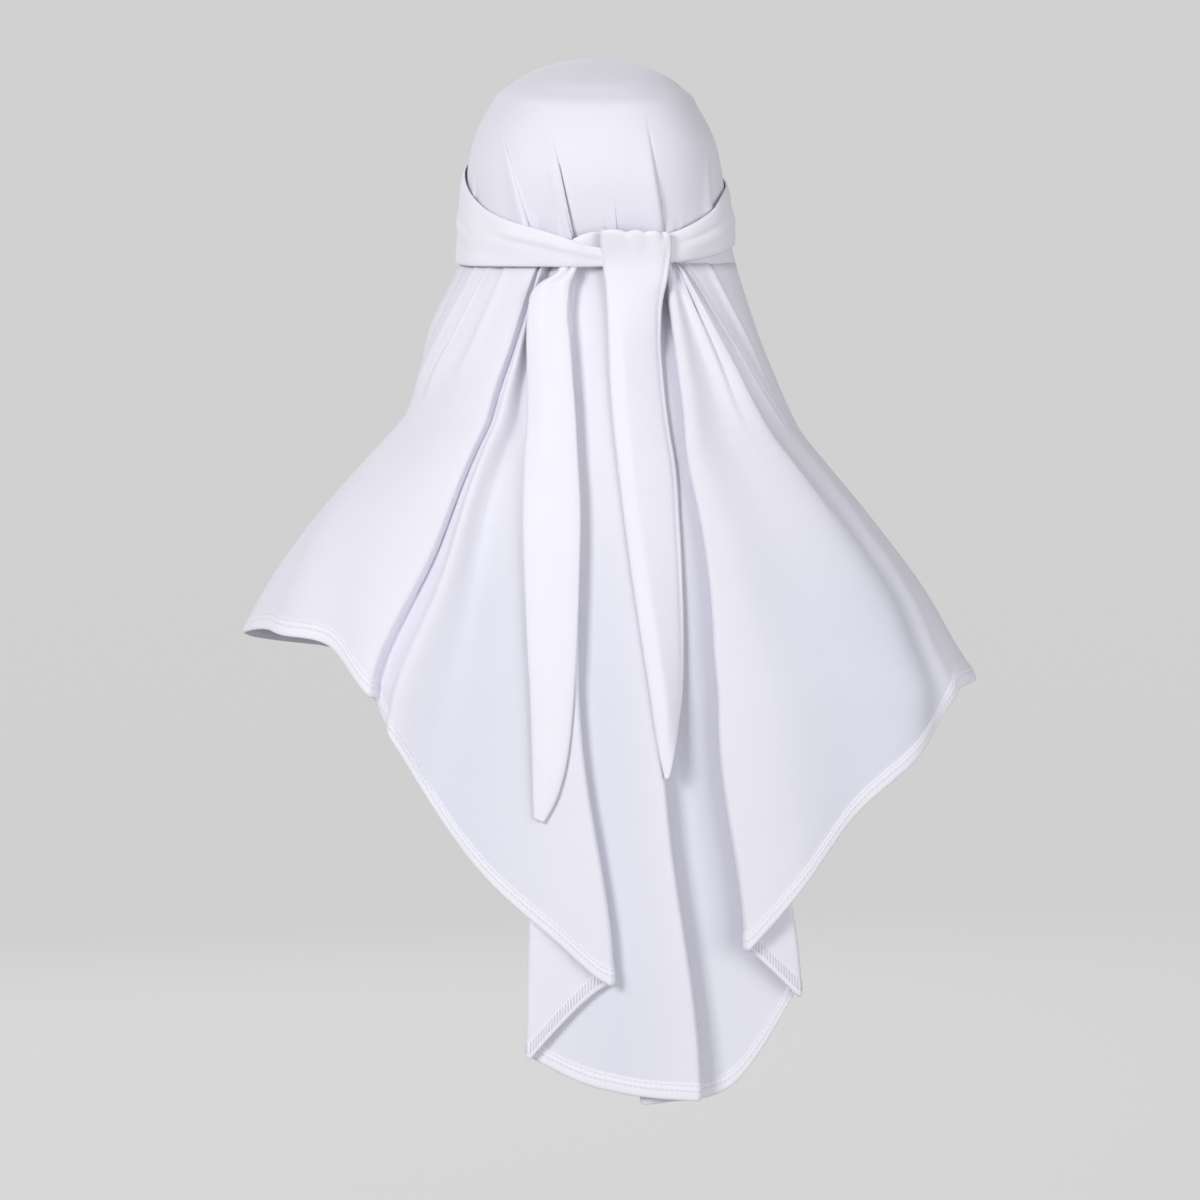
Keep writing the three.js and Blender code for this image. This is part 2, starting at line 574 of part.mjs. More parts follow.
// Middle surface of a tie: stations with an angle and level at either edge
function tieRows(target, stations) {
  const reach = clearance + tieWall / 2;
  return refined(stations).map((station) => {
    const row = [];
    for (let i = 0; i <= acrossTie; i += 1) {
      const t = i / acrossTie;
      const z = mix(station.startZ, station.endZ, t);
      const angle = mix(station.start, station.end, t);
      const lift = clothLift(target, angle, z) + reach + station.layer * (tieWall + clearance);
      row.push(outlinePoint(angle, z, lift));
    }
    return row;
  });
}

function bandStations(table) {
  return table.map((row) => ({
    start: placeAngle(row.place),
    end: placeAngle(row.place),
    startZ: -row.top * height,
    endZ: -row.bottom * height,
    layer: row.layer,
  }));
}

function tailStations(table) {
  return table.map((row) => {
    const outerZ = -row.outerZ * height;
    const innerZ = -row.innerZ * height;
    return {
      start: acrossAngle(row.outer * headHalf, outerZ),
      end: acrossAngle(row.inner * headHalf, innerZ),
      startZ: outerZ,
      endZ: innerZ,
      layer: row.layer,
    };
  });
}

// Angle of a point on the back at a distance from the middle plane
function acrossAngle(x, z) {
  const section = sectionAt(z);
  return placeAngle(x / (x >= 0 ? section.left : section.right));
}

function tieSheet(rows) {
  return shell(rows, () => tieWall);
}

const cloth = mainCloth();
const hood = named('hood_cape', geometryOf(cloth), 0xeae8f2);
hood.material.side = THREE.DoubleSide;
hood.updateMatrixWorld();

// The tie from the right of the picture runs under the other one and hangs on the left
const under = [...bandStations(rightBand), ...tailStations(leftTail)];
const tieRight = named('tie_right', geometryOf(tieSheet(tieRows(hood, under))), 0xe4e2ee);

// The tie from the left passes over it, then comes over the top and hangs on the right
const bandOver = solidOf(tieSheet(tieRows(hood, bandStations(leftBand))));
const tailOver = solidOf(tieSheet(tieRows(hood, tailStations(rightTail))));
const tieLeft = named('tie_left', geometryOfSolid(wasm.Manifold.union([bandOver, tailOver])), 0xe8e6f1);

const group = new THREE.Group();
group.name = 'instant_hijab';
group.add(hood, tieLeft, tieRight);

export default group;
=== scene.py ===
import math

import bpy
import numpy as np
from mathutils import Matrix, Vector
from mathutils.bvhtree import BVHTree


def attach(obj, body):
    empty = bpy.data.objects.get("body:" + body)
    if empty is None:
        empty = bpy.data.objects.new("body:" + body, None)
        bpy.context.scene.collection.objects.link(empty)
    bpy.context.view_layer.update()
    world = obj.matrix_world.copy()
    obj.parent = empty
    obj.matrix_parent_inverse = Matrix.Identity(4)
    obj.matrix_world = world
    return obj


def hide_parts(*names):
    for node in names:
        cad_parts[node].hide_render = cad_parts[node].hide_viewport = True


bl_info = {
    "name": "Instant hijab",
    "version": (1, 0, 0),
    "blender": (4, 5, 0),
    "location": "View3D > Sidebar > Hijab",
    "description": "Builds the looks of a tie-back instant hijab over its frame",
    "category": "Add Mesh",
}

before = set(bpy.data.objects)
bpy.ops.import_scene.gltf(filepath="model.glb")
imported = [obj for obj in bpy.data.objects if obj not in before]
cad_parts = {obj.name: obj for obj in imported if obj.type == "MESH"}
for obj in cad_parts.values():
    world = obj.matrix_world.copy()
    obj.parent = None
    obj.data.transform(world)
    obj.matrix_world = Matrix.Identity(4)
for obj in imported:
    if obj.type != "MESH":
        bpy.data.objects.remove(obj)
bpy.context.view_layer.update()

# Lengths below are in millimetres, and a mesh is scaled to metres when it is made
MM = 0.001
ROUNDNESS = 2.4              # exponent of the plan outline
NAPE = 0.195                 # level of the ties' lower edge, share of the height
HEAD_BACK = 95.0             # back of the hood behind the origin
FACE_TOP = -46.0             # forehead edge
CHIN = -222.0                # lower end of the face opening
FACE_HALF = 62.0             # half width of the face opening
FRONT_DROP = 0.665           # hem level at the front centre, share of the height
HOOD_ROWS = 11               # rows of the frame from the crown to the ties' lower edge
CAPE_ROWS = 15               # rows of the frame from there to the hem
HOOD_FINE = 5                # rows of the looks for one row of the frame, on the hood
FINE = 3                     # the same on the cape
FACE_ROWS = (4, 17)          # rows where the face opening begins and ends
FOLD_STEP = (3.8, 6.4)       # depth from one pleat layer to the next, at the ties and hem
FOLD_RADIUS = (0.9, 2.2)     # half the width of a folded edge, at the ties and hem
TURN_POINTS = 7              # columns round a folded edge
BETWEEN = 12                 # columns from one soft fold to the next
FRONT_COLUMNS = 24           # columns from the face edge to the chest fold
FRONT_WAVES = 3              # soft half waves from the face edge to the chest fold
FRONT_WAVE = 3.0             # their height
WIDEST_PLACE = 0.985         # limit of a straight line's place round the section
GATHER_REACH = 25            # columns beside the outer gathers that still move with them
TIE_POINTS = 33              # places across a tie
TIE_STEPS = 6                # stations made for one of a tie's table
TIE_GAP = 0.4                # air between the cloth and a tie
LAYER_GAP = 0.6              # air between one layer of a tie and the next
TIE_CROWN = 1.6              # greatest bulge along the middle of a tie
TIE_BRIDGE = (3, 12)         # stations and places across over which a tie bridges hollows
KNIT_SIZE = 0.0009           # size of a knitted stitch, in metres
KNIT_BUMP = 0.30             # strength of the knit's bump
SEEN_WIDTH = 0.756           # width of the picture at the cloth, in metres

# Outline from the crown down: z is a share of the height, widths are shares of the
# head's half width and depths of its back
OUTLINE = {
    "z": (0.000, 0.003, 0.009, 0.018, 0.028, 0.050, 0.080, 0.115, 0.150, 0.195,
          0.260, 0.300, 0.342, 0.365, 0.445, 0.510, 0.560, 0.610, 1.000),
    "left": (0.00, 0.29, 0.49, 0.66, 0.77, 0.91, 1.02, 1.07, 1.08, 1.12,
             1.36, 1.45, 1.56, 1.72, 2.30, 2.68, 2.88, 2.96, 3.00),
    "right": (0.00, 0.15, 0.34, 0.52, 0.63, 0.76, 0.88, 0.94, 0.97, 1.04,
              1.21, 1.34, 1.49, 1.60, 2.14, 2.54, 2.78, 2.99, 3.06),
    "back": (0.00, 0.20, 0.40, 0.60, 0.75, 0.90, 0.98, 1.00, 0.94, 0.82,
             0.88, 0.92, 0.98, 1.02, 1.12, 1.18, 1.22, 1.24, 1.26),
    "front": (0.00, 0.25, 0.45, 0.63, 0.74, 0.87, 0.96, 0.97, 0.93, 0.88,
              0.86, 0.84, 0.90, 0.96, 1.14, 1.22, 1.26, 1.28, 1.30),
}

# Folds from the left of the front round the back to the right of the front. nape, third,
# two, hem: places round the section, 0 back centre, 1 side, 2 front centre; drop: hem
# level, share of the height; enter, leave: pleat layer either side; turn: where a folded
# edge points, 0 on a soft fold
FOLD_COLUMNS = ("nape", "third", "two", "hem", "drop", "enter", "leave", "turn")
FOLDS = {
    "left chest": (1.20, 1.13, 1.18, 1.20, 0.580, 0.0, 0.0, 0),
    "left shoulder": (1.00, 1.00, 1.00, 1.03, 0.566, 0.0, 0.0, 0),
    "left blade": (0.93, 0.985, 0.985, 0.955, 0.546, 0.0, 0.0, 0),
    "left edge": (0.80, 0.94, 0.945, 0.87, 0.548, 0.6, 0.6, 0),
    "left fall": (0.69, 0.83, 0.82, 0.735, 0.556, 0.2, 0.2, 0),
    "lit ridge": (0.456, 0.58, 0.562, 0.612, 0.596, 0.9, 0.9, 0),
    "cleft": (0.430, 0.553, 0.528, 0.585, 0.612, -0.2, -0.2, 0),
    "strip": (0.400, 0.49, 0.457, 0.530, 0.645, 1.4, 1.4, 0),
    "broad panel": (0.365, 0.42, 0.375, 0.440, 0.706, -0.3, -0.3, 0),
    "dip": (0.330, 0.31, 0.28, 0.30, 0.770, 0.7, 0.7, 0),
    "rise": (0.290, 0.20, 0.14, 0.12, 0.828, 1.5, 1.5, 0),
    "left panel edge": (0.240, 0.095, 0.055, -0.025, 0.869, 2.0, 1.0, -1),
    "first inner edge": (0.20, 0.15, 0.175, 0.195, 0.941, 1.0, 0.0, 1),
    "middle layer": (0.10, 0.03, 0.00, -0.04, 0.974, 0.3, 0.3, 0),
    "middle edge": (-0.02, -0.11, -0.165, -0.245, 0.982, 0.6, -1.0, -1),
    "second inner edge": (-0.08, -0.06, -0.06, -0.10, 0.988, -1.0, -2.2, 1),
    "deep layer": (-0.22, -0.26, -0.24, -0.33, 0.974, -2.2, -2.2, 0),
    "right inner edge": (-0.47, -0.46, -0.42, -0.505, 0.886, -1.9, -0.3, -1),
    "right panel edge": (-0.445, -0.37, -0.295, -0.355, 0.838, 0.2, 1.3, 1),
    "soft ridge": (-0.475, -0.44, -0.42, -0.485, 0.786, 1.4, 1.4, 0),
    "right hollow": (-0.505, -0.60, -0.60, -0.635, 0.716, 0.4, 0.4, 0),
    "slanting ridge": (-0.53, -0.78, -0.82, -0.785, 0.666, 1.0, 1.0, 0),
    "slanting hollow": (-0.57, -0.85, -0.90, -0.865, 0.636, 0.0, 0.0, 0),
    "right edge": (-0.62, -0.92, -0.945, -0.915, 0.612, 0.15, 0.15, 0),
    "right fall": (-0.80, -0.96, -0.98, -0.962, 0.600, 0.0, 0.0, 0),
    "right shoulder": (-1.00, -1.00, -1.00, -1.03, 0.602, 0.0, 0.0, 0),
    "right chest": (-1.20, -1.13, -1.18, -1.20, 0.600, 0.0, 0.0, 0),
}

# Folds drawn up over the back of the hood: distance across the back at the ties and where
# the fold fades, both as shares of the head's half width; level where it fades, height and
# width of the soft side in millimetres; the other side falls away steeply
GATHERS = (
    (0.985, 1.010, 0.066, 1.4, 3.0),
    (0.500, 0.800, 0.062, 3.4, 8.0),
    (0.200, 0.430, 0.052, 3.6, 10.0),
    (-0.475, -0.310, 0.048, 3.8, 12.0),
    (-0.830, -0.800, 0.074, 2.6, 7.0),
)

# Creases between the folds, from the ties down: the fold before, share of the way to the
# next one, share of the way to the hem where the crease ends, height of the ridge and its
# width in millimetres, and the side that the ridge is on, 1 towards the next fold
CREASES = (
    ("left shoulder", 0.50, 0.30, 2.4, 6.0, -1),
    ("left blade", 0.75, 0.45, 4.2, 5.0, 1),
    ("left edge", 0.50, 0.40, 4.4, 5.0, 1),
    ("left fall", 0.25, 0.34, 3.0, 6.0, 1),
    ("lit ridge", 0.25, 1.00, 3.0, 12.0, -1),
    ("cleft", 0.75, 1.00, 3.0, 9.0, 1),
    ("broad panel", 0.50, 0.50, 1.0, 8.0, 1),
    ("right hollow", 0.50, 0.36, 2.4, 5.0, -1),
    ("slanting ridge", 0.25, 0.55, 3.6, 7.0, -1),
    ("slanting hollow", 0.75, 0.42, 2.6, 4.0, -1),
    ("right edge", 0.92, 0.34, 2.6, 5.0, -1),
)

# Turned hem, from its upper line to its edge: distance from the edge as a share of the
# hem's width, thickness as a share of the hem's
HEM_STEPS = ((1.35, 0.64), (1.10, 0.60), (1.00, 0.62), (0.90, 1.10), (0.55, 1.25),
             (0.20, 1.20), (0.05, 0.90), (0.0, 0.45))

# Painted shade for the dark clothes beneath showing through where a single layer hangs free, by
# the fold there, 0 elsewhere
SEE_THROUGH_SHADE = {"cleft": 0.3, "strip": 0.2, "broad panel": 0.9, "dip": 0.8, "rise": 0.3,
        "middle layer": 0.8, "deep layer": 0.5, "soft ridge": 0.3, "right hollow": 0.9,
        "slanting ridge": 1.0, "slanting hollow": 0.8, "right edge": 0.3,
        "left edge": 0.3, "left fall": 0.4}

# Ties. Band: place, top, bottom, layer. Tail: outer edge and level, inner edge and level,
# layer; edges are shares of the head's half width, layers count tie thicknesses below
LEFT_BAND = (
    (1.20, 0.098, 0.192, 0.0),
    (1.06, 0.098, 0.194, 0.0),
    (1.00, 0.103, 0.195, 0.0),
    (0.93, 0.128, 0.197, 0.0),
    (0.82, 0.143, 0.198, 0.0),
    (0.62, 0.155, 0.198, 0.0),
    (0.42, 0.163, 0.198, 0.6),
    (0.26, 0.170, 0.198, 1.6),
    (0.10, 0.178, 0.198, 1.7),
    (-0.10, 0.180, 0.197, 1.7),
    (-0.24, 0.178, 0.195, 2.0),
    (-0.36, 0.172, 0.192, 2.6),
)
RIGHT_BAND = (
    (-1.20, 0.104, 0.180, 0.0),
    (-1.06, 0.108, 0.178, 0.0),
    (-1.00, 0.118, 0.178, 0.0),
    (-0.94, 0.130, 0.182, 0.0),
    (-0.84, 0.144, 0.186, 0.0),
    (-0.68, 0.157, 0.191, 0.0),
    (-0.50, 0.166, 0.194, 0.0),
    (-0.30, 0.168, 0.195, 0.0),
    (-0.10, 0.166, 0.194, 0.0),
    (0.06, 0.165, 0.195, 0.0),
)
LEFT_TAIL = (
    (0.22, 0.172, 0.10, 0.192, 0.0),
    (0.30, 0.186, 0.18, 0.196, 0.0),
    (0.32, 0.200, 0.20, 0.202, 0.3),
    (0.37, 0.207, 0.22, 0.208, 0.6),
    (0.46, 0.214, 0.24, 0.214, 0.6),
    (0.52, 0.224, 0.25, 0.224, 0.5),
    (0.545, 0.242, 0.26, 0.242, 0.3),
    (0.56, 0.272, 0.24, 0.272, 0.1),
    (0.56, 0.340, 0.20, 0.340, 0.0),
    (0.60, 0.414, 0.17, 0.414, 0.0),
    (0.59, 0.496, 0.18, 0.496, 0.0),
    (0.56, 0.580, 0.21, 0.580, 0.0),
    (0.54, 0.647, 0.26, 0.647, 0.0),
    (0.53, 0.690, 0.34, 0.689, 0.0),
    (0.52, 0.712, 0.45, 0.716, 0.0),
)
RIGHT_TAIL = (
    (-0.44, 0.172, -0.02, 0.174, 1.2),
    (-0.46, 0.166, 0.01, 0.165, 1.9),
    (-0.47, 0.170, 0.02, 0.166, 2.9),
    (-0.47, 0.180, 0.02, 0.178, 3.0),
    (-0.46, 0.200, 0.00, 0.200, 2.3),
    (-0.44, 0.238, -0.03, 0.238, 1.2),
    (-0.48, 0.305, -0.05, 0.305, 0.4),
    (-0.56, 0.373, -0.10, 0.373, 0.1),
    (-0.60, 0.434, -0.16, 0.434, 0.0),
    (-0.62, 0.496, -0.23, 0.496, 0.0),
    (-0.625, 0.560, -0.31, 0.560, 0.0),
    (-0.60, 0.610, -0.375, 0.612, 0.0),
    (-0.54, 0.655, -0.435, 0.655, 0.0),
    (-0.50, 0.675, -0.475, 0.676, 0.0),
)

# Folds along the ties: where each starts and ends along the tie, its place across at
# either end, all as shares; height, width before and after the line in millimetres
TIE_FOLDS = {
    "tie_tail_over": (
        (0.00, 0.34, 0.90, 0.86, 0.9, 5.0, 4.0),
        (0.00, 0.20, 0.72, 0.68, -2.4, 1.8, 2.6),
        (0.00, 0.36, 0.58, 0.52, 1.0, 4.0, 3.0),
        (0.00, 0.18, 0.44, 0.42, -2.0, 1.6, 2.0),
        (0.00, 0.30, 0.30, 0.24, 0.9, 3.0, 3.0),
        (0.00, 0.20, 0.17, 0.14, -2.2, 1.6, 1.6),
        (0.22, 1.00, 0.09, 0.11, -1.6, 1.0, 1.0),
    ),
    "tie_under": (
        (0.00, 0.36, 0.62, 0.52, 1.2, 7.0, 4.0),
        (0.05, 0.34, 0.30, 0.42, -0.8, 1.6, 4.0),
        (0.42, 0.66, 0.32, 0.22, 1.6, 3.0, 2.0),
        (0.42, 0.60, 0.55, 0.62, -1.8, 1.2, 1.2),
        (0.42, 0.64, 0.82, 0.86, 1.4, 2.0, 2.0),
        (0.52, 1.00, 0.35, 0.45, 1.4, 9.0, 9.0),
    ),
    "tie_band_over": (
        (0.00, 0.80, 0.55, 0.60, 1.2, 9.0, 5.0),
        (0.10, 0.46, 0.30, 0.62, -0.8, 1.4, 5.0),
        (0.40, 1.00, 0.30, 0.50, 1.0, 4.0, 2.0),
    ),
}

# Share of a tie's length over which it rises from the seam at its start
SEWN = {"tie_under": 0.04, "tie_band_over": 0.12}


class HijabSizes(bpy.types.PropertyGroup):
    """Sizes that a user would change"""

    height: bpy.props.FloatProperty(
        name="Height", description="From the crown to the lowest point of the hem",
        default=0.655, min=0.4, max=1.0, unit="LENGTH")
    head_half: bpy.props.FloatProperty(
        name="Head half width", description="Half width of the hood over the ears",
        default=0.080, min=0.05, max=0.12, unit="LENGTH")
    cloth_wall: bpy.props.FloatProperty(
        name="Cloth thickness", description="Thickness of the jersey",
        default=0.0014, min=0.0005, max=0.004, unit="LENGTH")
    hem_wall: bpy.props.FloatProperty(
        name="Hem thickness", description="Thickness of the turned hem",
        default=0.0022, min=0.0005, max=0.006, unit="LENGTH")
    hem_width: bpy.props.FloatProperty(
        name="Hem width", description="Width of the turned hem",
        default=0.011, min=0.004, max=0.03, unit="LENGTH")
    tie_wall: bpy.props.FloatProperty(
        name="Tie thickness", description="Thickness of a flattened tie",
        default=0.0016, min=0.0005, max=0.006, unit="LENGTH")


class HijabColours(bpy.types.PropertyGroup):
    """Colours that a user would change"""

    cloth: bpy.props.FloatVectorProperty(
        name="Cloth", description="Colour of the jersey", subtype="COLOR",
        size=3, min=0.0, max=1.0, default=(0.84, 0.825, 0.91))
    tie: bpy.props.FloatVectorProperty(
        name="Ties", description="Colour of the ties, which are two layers of jersey",
        subtype="COLOR", size=3, min=0.0, max=1.0, default=(0.89, 0.875, 0.95))
    # Colour of the painted shade where the dark clothes beneath show through a single layer
    see_through_shade: bpy.props.FloatVectorProperty(
        name="See-through shade", description="Colour of a single layer that hangs free",
        subtype="COLOR", size=3, min=0.0, max=1.0, default=(0.74, 0.755, 0.855))
    # Colour of the stitching, darker than the cloth partly as painted shade in the stitch
    # dimples
    thread_and_shade: bpy.props.FloatVectorProperty(
        name="Thread and shade", description="Colour of the hem's stitching", subtype="COLOR",
        size=3, min=0.0, max=1.0, default=(0.70, 0.69, 0.78))
    backdrop: bpy.props.FloatVectorProperty(
        name="Backdrop", description="Colour of the floor and backdrop",
        subtype="COLOR", size=3, min=0.0, max=1.0, default=(0.645, 0.645, 0.645))


def mix(a, b, t):
    """Value between two others"""
    return a + (b - a) * t


def smooth(t):
    """Soft step from 0 to 1"""
    k = np.clip(t, 0.0, 1.0)
    return k * k * (3 - 2 * k)


def lookup(keys, values, at):
    """Smooth curve through a table's column, read at many places"""
    keys = np.asarray(keys, float)
    values = np.asarray(values, float)
    span = np.diff(keys)
    rise = np.diff(values)
    slopes = np.zeros(len(keys))
    slopes[1:-1] = (values[2:] - values[:-2]) / (keys[2:] - keys[:-2])
    slopes[0] = rise[0] / span[0]
    i = np.clip(np.searchsorted(keys, at, side="left") - 1, 0, len(keys) - 2)
    t = np.clip((at - keys[i]) / span[i], 0.0, 1.0)
    t2 = t * t
    t3 = t2 * t
    return ((2 * t3 - 3 * t2 + 1) * values[i] + (t3 - 2 * t2 + t) * span[i] * slopes[i]
            + (3 * t2 - 2 * t3) * values[i + 1] + (t3 - t2) * span[i] * slopes[i + 1])


def curve(a, b, c, d, t):
    """Soft curve through four values"""
    return 0.5 * (2 * b + (c - a) * t + (2 * a - 5 * b + 4 * c - d) * t * t
                  + (3 * b - a - 3 * c + d) * t * t * t)


class Form:
    """The outline that the cloth lies on, at the user's sizes"""

    def __init__(self, sizes):
        self.height = sizes.height / MM
        self.head = sizes.head_half / MM

    def section(self, z):
        """Half widths and depths at a level"""
        share = np.sqrt(np.clip(-np.asarray(z, float) / self.height, 0.0, 1.0))
        keys = np.sqrt(OUTLINE["z"])
        left = lookup(keys, OUTLINE["left"], share) * self.head
        right = lookup(keys, OUTLINE["right"], share) * self.head
        back = lookup(keys, OUTLINE["back"], share) * HEAD_BACK
        front = lookup(keys, OUTLINE["front"], share) * HEAD_BACK
        return left, right, back, front

    def half(self, z, side):
        """Half width at a level on one side"""
        left, right, _back, _front = self.section(z)
        return np.where(np.asarray(side) >= 0, left, right)

    def point(self, angle, z, lift):
        """Point at an angle round the section, lifted outwards"""
        left, right, back, front = self.section(z)
        sx = np.sin(angle)
        cy = -np.cos(angle)
        wide = np.where(sx >= 0, left, right)
        deep = np.where(cy >= 0, back, front)
        power = 2 / ROUNDNESS
        x = np.sign(sx) * np.abs(sx) ** power * wide
        y = np.sign(cy) * np.abs(cy) ** power * deep
        ox = np.sign(sx) * np.abs(sx) ** (2 - power) / np.maximum(wide, 1)
        oy = np.sign(cy) * np.abs(cy) ** (2 - power) / np.maximum(deep, 1)
        norm = np.maximum(np.hypot(ox, oy), 1e-9)
        return np.stack([x + ox / norm * lift, y + oy / norm * lift,
                         np.broadcast_to(z, x.shape)], axis=-1)


def place_angle(place):
    """Angle of a place round the section: share of the half width, past 1 in front"""
    place = np.asarray(place, float)
    side = np.where(place < 0, -1.0, 1.0)
    size = np.abs(place)
    share = np.where(size <= 1, size, 2 - size)
    quarter = np.arcsin(np.clip(share, 0.0, 1.0) ** (ROUNDNESS / 2))
    from_back = np.where(size <= 1, quarter, np.pi - quarter)
    return np.pi - side * from_back


def face_edge(row):
    """Half width and level of the face opening at a row"""
    first, last = FACE_ROWS
    t = np.clip((row - first) / (last - first), 0.0, 1.0)
    z = mix(FACE_TOP, CHIN, (1 - np.cos(np.pi * t)) / 2)
    x = FACE_HALF * np.maximum(np.sin(np.pi * t), 0.0) ** 0.9
    return x, z


def guide_lines():
    """Lines down the cloth: one for each soft fold, several round each folded edge"""
    lines = []
    for name, values in FOLDS.items():
        fold = dict(zip(FOLD_COLUMNS, values))
        base = {"name": name, "places": values[:4], "drop": fold["drop"]}
        if fold["turn"] == 0:
            lines.append(dict(base, layer=fold["enter"], shift=0.0, sharp=False))
            continue
        for k in range(TURN_POINTS):
            round_edge = math.pi * k / (TURN_POINTS - 1)
            layer = mix(fold["enter"], fold["leave"], (1 - math.cos(round_edge)) / 2)
            shift = -fold["turn"] * (1 - math.sin(round_edge))
            lines.append(dict(base, layer=layer, shift=shift, sharp=True))
    return lines


def on_line(form, line, v):
    """Angle, level and lift of a guide line at shares of the way to the hem"""
    z = mix(-NAPE * form.height, -line["drop"] * form.height, v)
    place = lookup((0, 1 / 3, 2 / 3, 1), line["places"], v)
    top, third = line["places"][:2]
    third_z = mix(-NAPE, -line["drop"], 1 / 3) * form.height
    top_x = top * form.half(-NAPE * form.height, top)
    third_x = third * form.half(third_z, top)
    straight = mix(top_x, third_x, 3 * v) / form.half(z, place)
    if abs(top) < 0.9:
        place = mix(straight, place, smooth((v - 0.2) / 0.13)).clip(-WIDEST_PLACE, WIDEST_PLACE)
    radius = mix(FOLD_RADIUS[0], FOLD_RADIUS[1], v)
    moved = place + line["shift"] * radius / form.half(z, place)
    lift = line["layer"] * mix(FOLD_STEP[0], FOLD_STEP[1], v)
    return place_angle(moved), z, lift


def front_line(form, line, side, front, v):
    """The same between the face edge and the chest fold"""
    last = FACE_ROWS[1]
    row = HOOD_ROWS + v * CAPE_ROWS
    half, level = face_edge(row)
    closed = row >= last
    share = (row - last) / (HOOD_ROWS + CAPE_ROWS - last)
    edge_z = np.where(closed, mix(CHIN, -FRONT_DROP * form.height, share), level)
    half = np.where(closed, 0.0, half)
    edge = place_angle(side * (2 - half / form.half(edge_z, side)))
    own_angle, own_z, _lift = on_line(form, line, v)
    angle = mix(edge, own_angle, front)
    z = mix(edge_z, own_z, smooth(front) * 0.5 + front * 0.5)
    return angle, z, np.sin(front * np.pi * FRONT_WAVES) * FRONT_WAVE * smooth(v)


def cloth_columns():
    """Columns of the main cloth: which guide lines each lies between, and how far"""
    lines = guide_lines()
    last = len(lines) - 1
    columns = []
    for i in range(FRONT_COLUMNS):
        columns.append({"front": i / FRONT_COLUMNS, "side": 1, "at": 0, "t": 0.0})
    for i in range(last + 1):
        here = lines[i]
        following = lines[min(last, i + 1)]
        turning = here["sharp"] and following["sharp"] and here["drop"] == following["drop"]
        steps = 1 if i == last or turning else BETWEEN
        for k in range(steps):
            columns.append({"front": 1, "side": 0, "at": i, "t": k / steps})
    for i in reversed(range(FRONT_COLUMNS)):
        columns.append({"front": i / FRONT_COLUMNS, "side": -1, "at": last, "t": 0.0})
    return lines, columns


def cape_column(form, lines, column, v):
    """Angle, level and lift down one column of the cape"""
    if column["front"] < 1:
        return front_line(form, lines[column["at"]], column["side"], column["front"], v)
    at = column["at"]
    last = len(lines) - 1
    four = [on_line(form, lines[min(last, max(0, at + k))], v) for k in (-1, 0, 1, 2)]
    angle, z, lift = (curve(*(line[k] for line in four), column["t"]) for k in range(3))
    rise, shift = crease_shape(form, lines, column, v)
    return angle + shift / form.half(z, np.pi - angle), z, lift + rise


def hood_column(form, lines, column, share, rows):
    """Angle, level and lift down one column of the hood"""
    foot_angle, foot_z, foot_lift = (float(value[0]) for value in
                                     cape_column(form, lines, column, np.zeros(1)))
    down = rows / HOOD_ROWS
    first = FACE_ROWS[0]
    half, level = face_edge(rows)
    opened = rows > first
    edge_z = np.where(opened, level, FACE_TOP * (rows / first) ** 1.5)
    side = 1 if share <= 0.5 else -1
    edge_share = np.where(opened, 2 - half / form.half(edge_z, side), 2.0)
    turn = place_angle(edge_share)
    even = mix(turn, 2 * np.pi - turn, share)
    edge_angle = turn if side > 0 else 2 * np.pi - turn
    if column["front"] < 1:
        chest = on_line(form, lines[column["at"]], np.zeros(1))[0]
        foot_angle = mix(edge_angle, chest, column["front"])
    angle = mix(even, foot_angle, smooth(down) ** 1.4)
    back = ((1 - math.cos(2 * math.pi * share)) / 2) ** 0.6
    back_z = -NAPE * form.height * down ** 1.6
    z = mix(mix(edge_z, back_z, back), foot_z, down ** 4)
    if column["front"] == 0:
        z = edge_z
    return angle, z, foot_lift * smooth((rows - HOOD_ROWS + 3) / 3)


def draw_up(form, angle, z, lift):
    """Folds drawn up by the ties over the back of the hood, each along its own column"""
    bottom = -NAPE * form.height
    count = angle.shape[1]
    columns = np.arange(count)
    rows = np.arange(angle.shape[0])
    spots = []
    for foot, head, level, height, soft in GATHERS:
        top = -level * form.height
        t = (top - z) / (top - bottom)
        centre = mix(head, foot, np.clip(t, 0.0, 1.1)) * form.head
        goal = place_angle(centre / form.half(z, centre))
        row = np.argmin(np.abs(z[:, count // 2] - mix(top, bottom, 0.9)))
        middle = int(np.argmin(np.abs(angle[row] - goal[row])))
        first = int(np.argmax(t[:, middle] > 0))
        move = goal[:, middle] - angle[:, middle]
        above = move[first] * np.exp(-((rows - first) / 7.0) ** 2)
        move = np.where(rows < first, above, move)
        move = move * (1 - smooth((t[:, middle] - 0.8) / 0.2))
        spots.append((middle, move, t, height, soft))
    spots.sort(key=lambda spot: spot[0])
    keys = [spot[0] for spot in spots]
    keys = [keys[0] - GATHER_REACH] + keys + [keys[-1] + GATHER_REACH]
    for row in rows:
        moves = [0.0] + [spot[1][row] for spot in spots] + [0.0]
        angle[row] += np.interp(columns, keys, moves)
    for middle, _move, t, height, soft in spots:
        across = (angle - angle[:, [middle]]) * form.head
        step = columns - middle
        fade = smooth(t * 1.2) * (1 - smooth((t - 0.85) / 0.15))
        width = soft * mix(0.5, 1.0, smooth(t))
        ridge = np.where(step <= 0, np.exp(-(across / width) ** 2), 0.0)
        hollow = 0.45 * np.exp(-((step - 2) / 1.6) ** 2) * (step > 0)
        lift += height * fade * (ridge - hollow)
        angle += np.where(step == 0, 0.9, 0.0) * fade / form.head
    return angle, lift


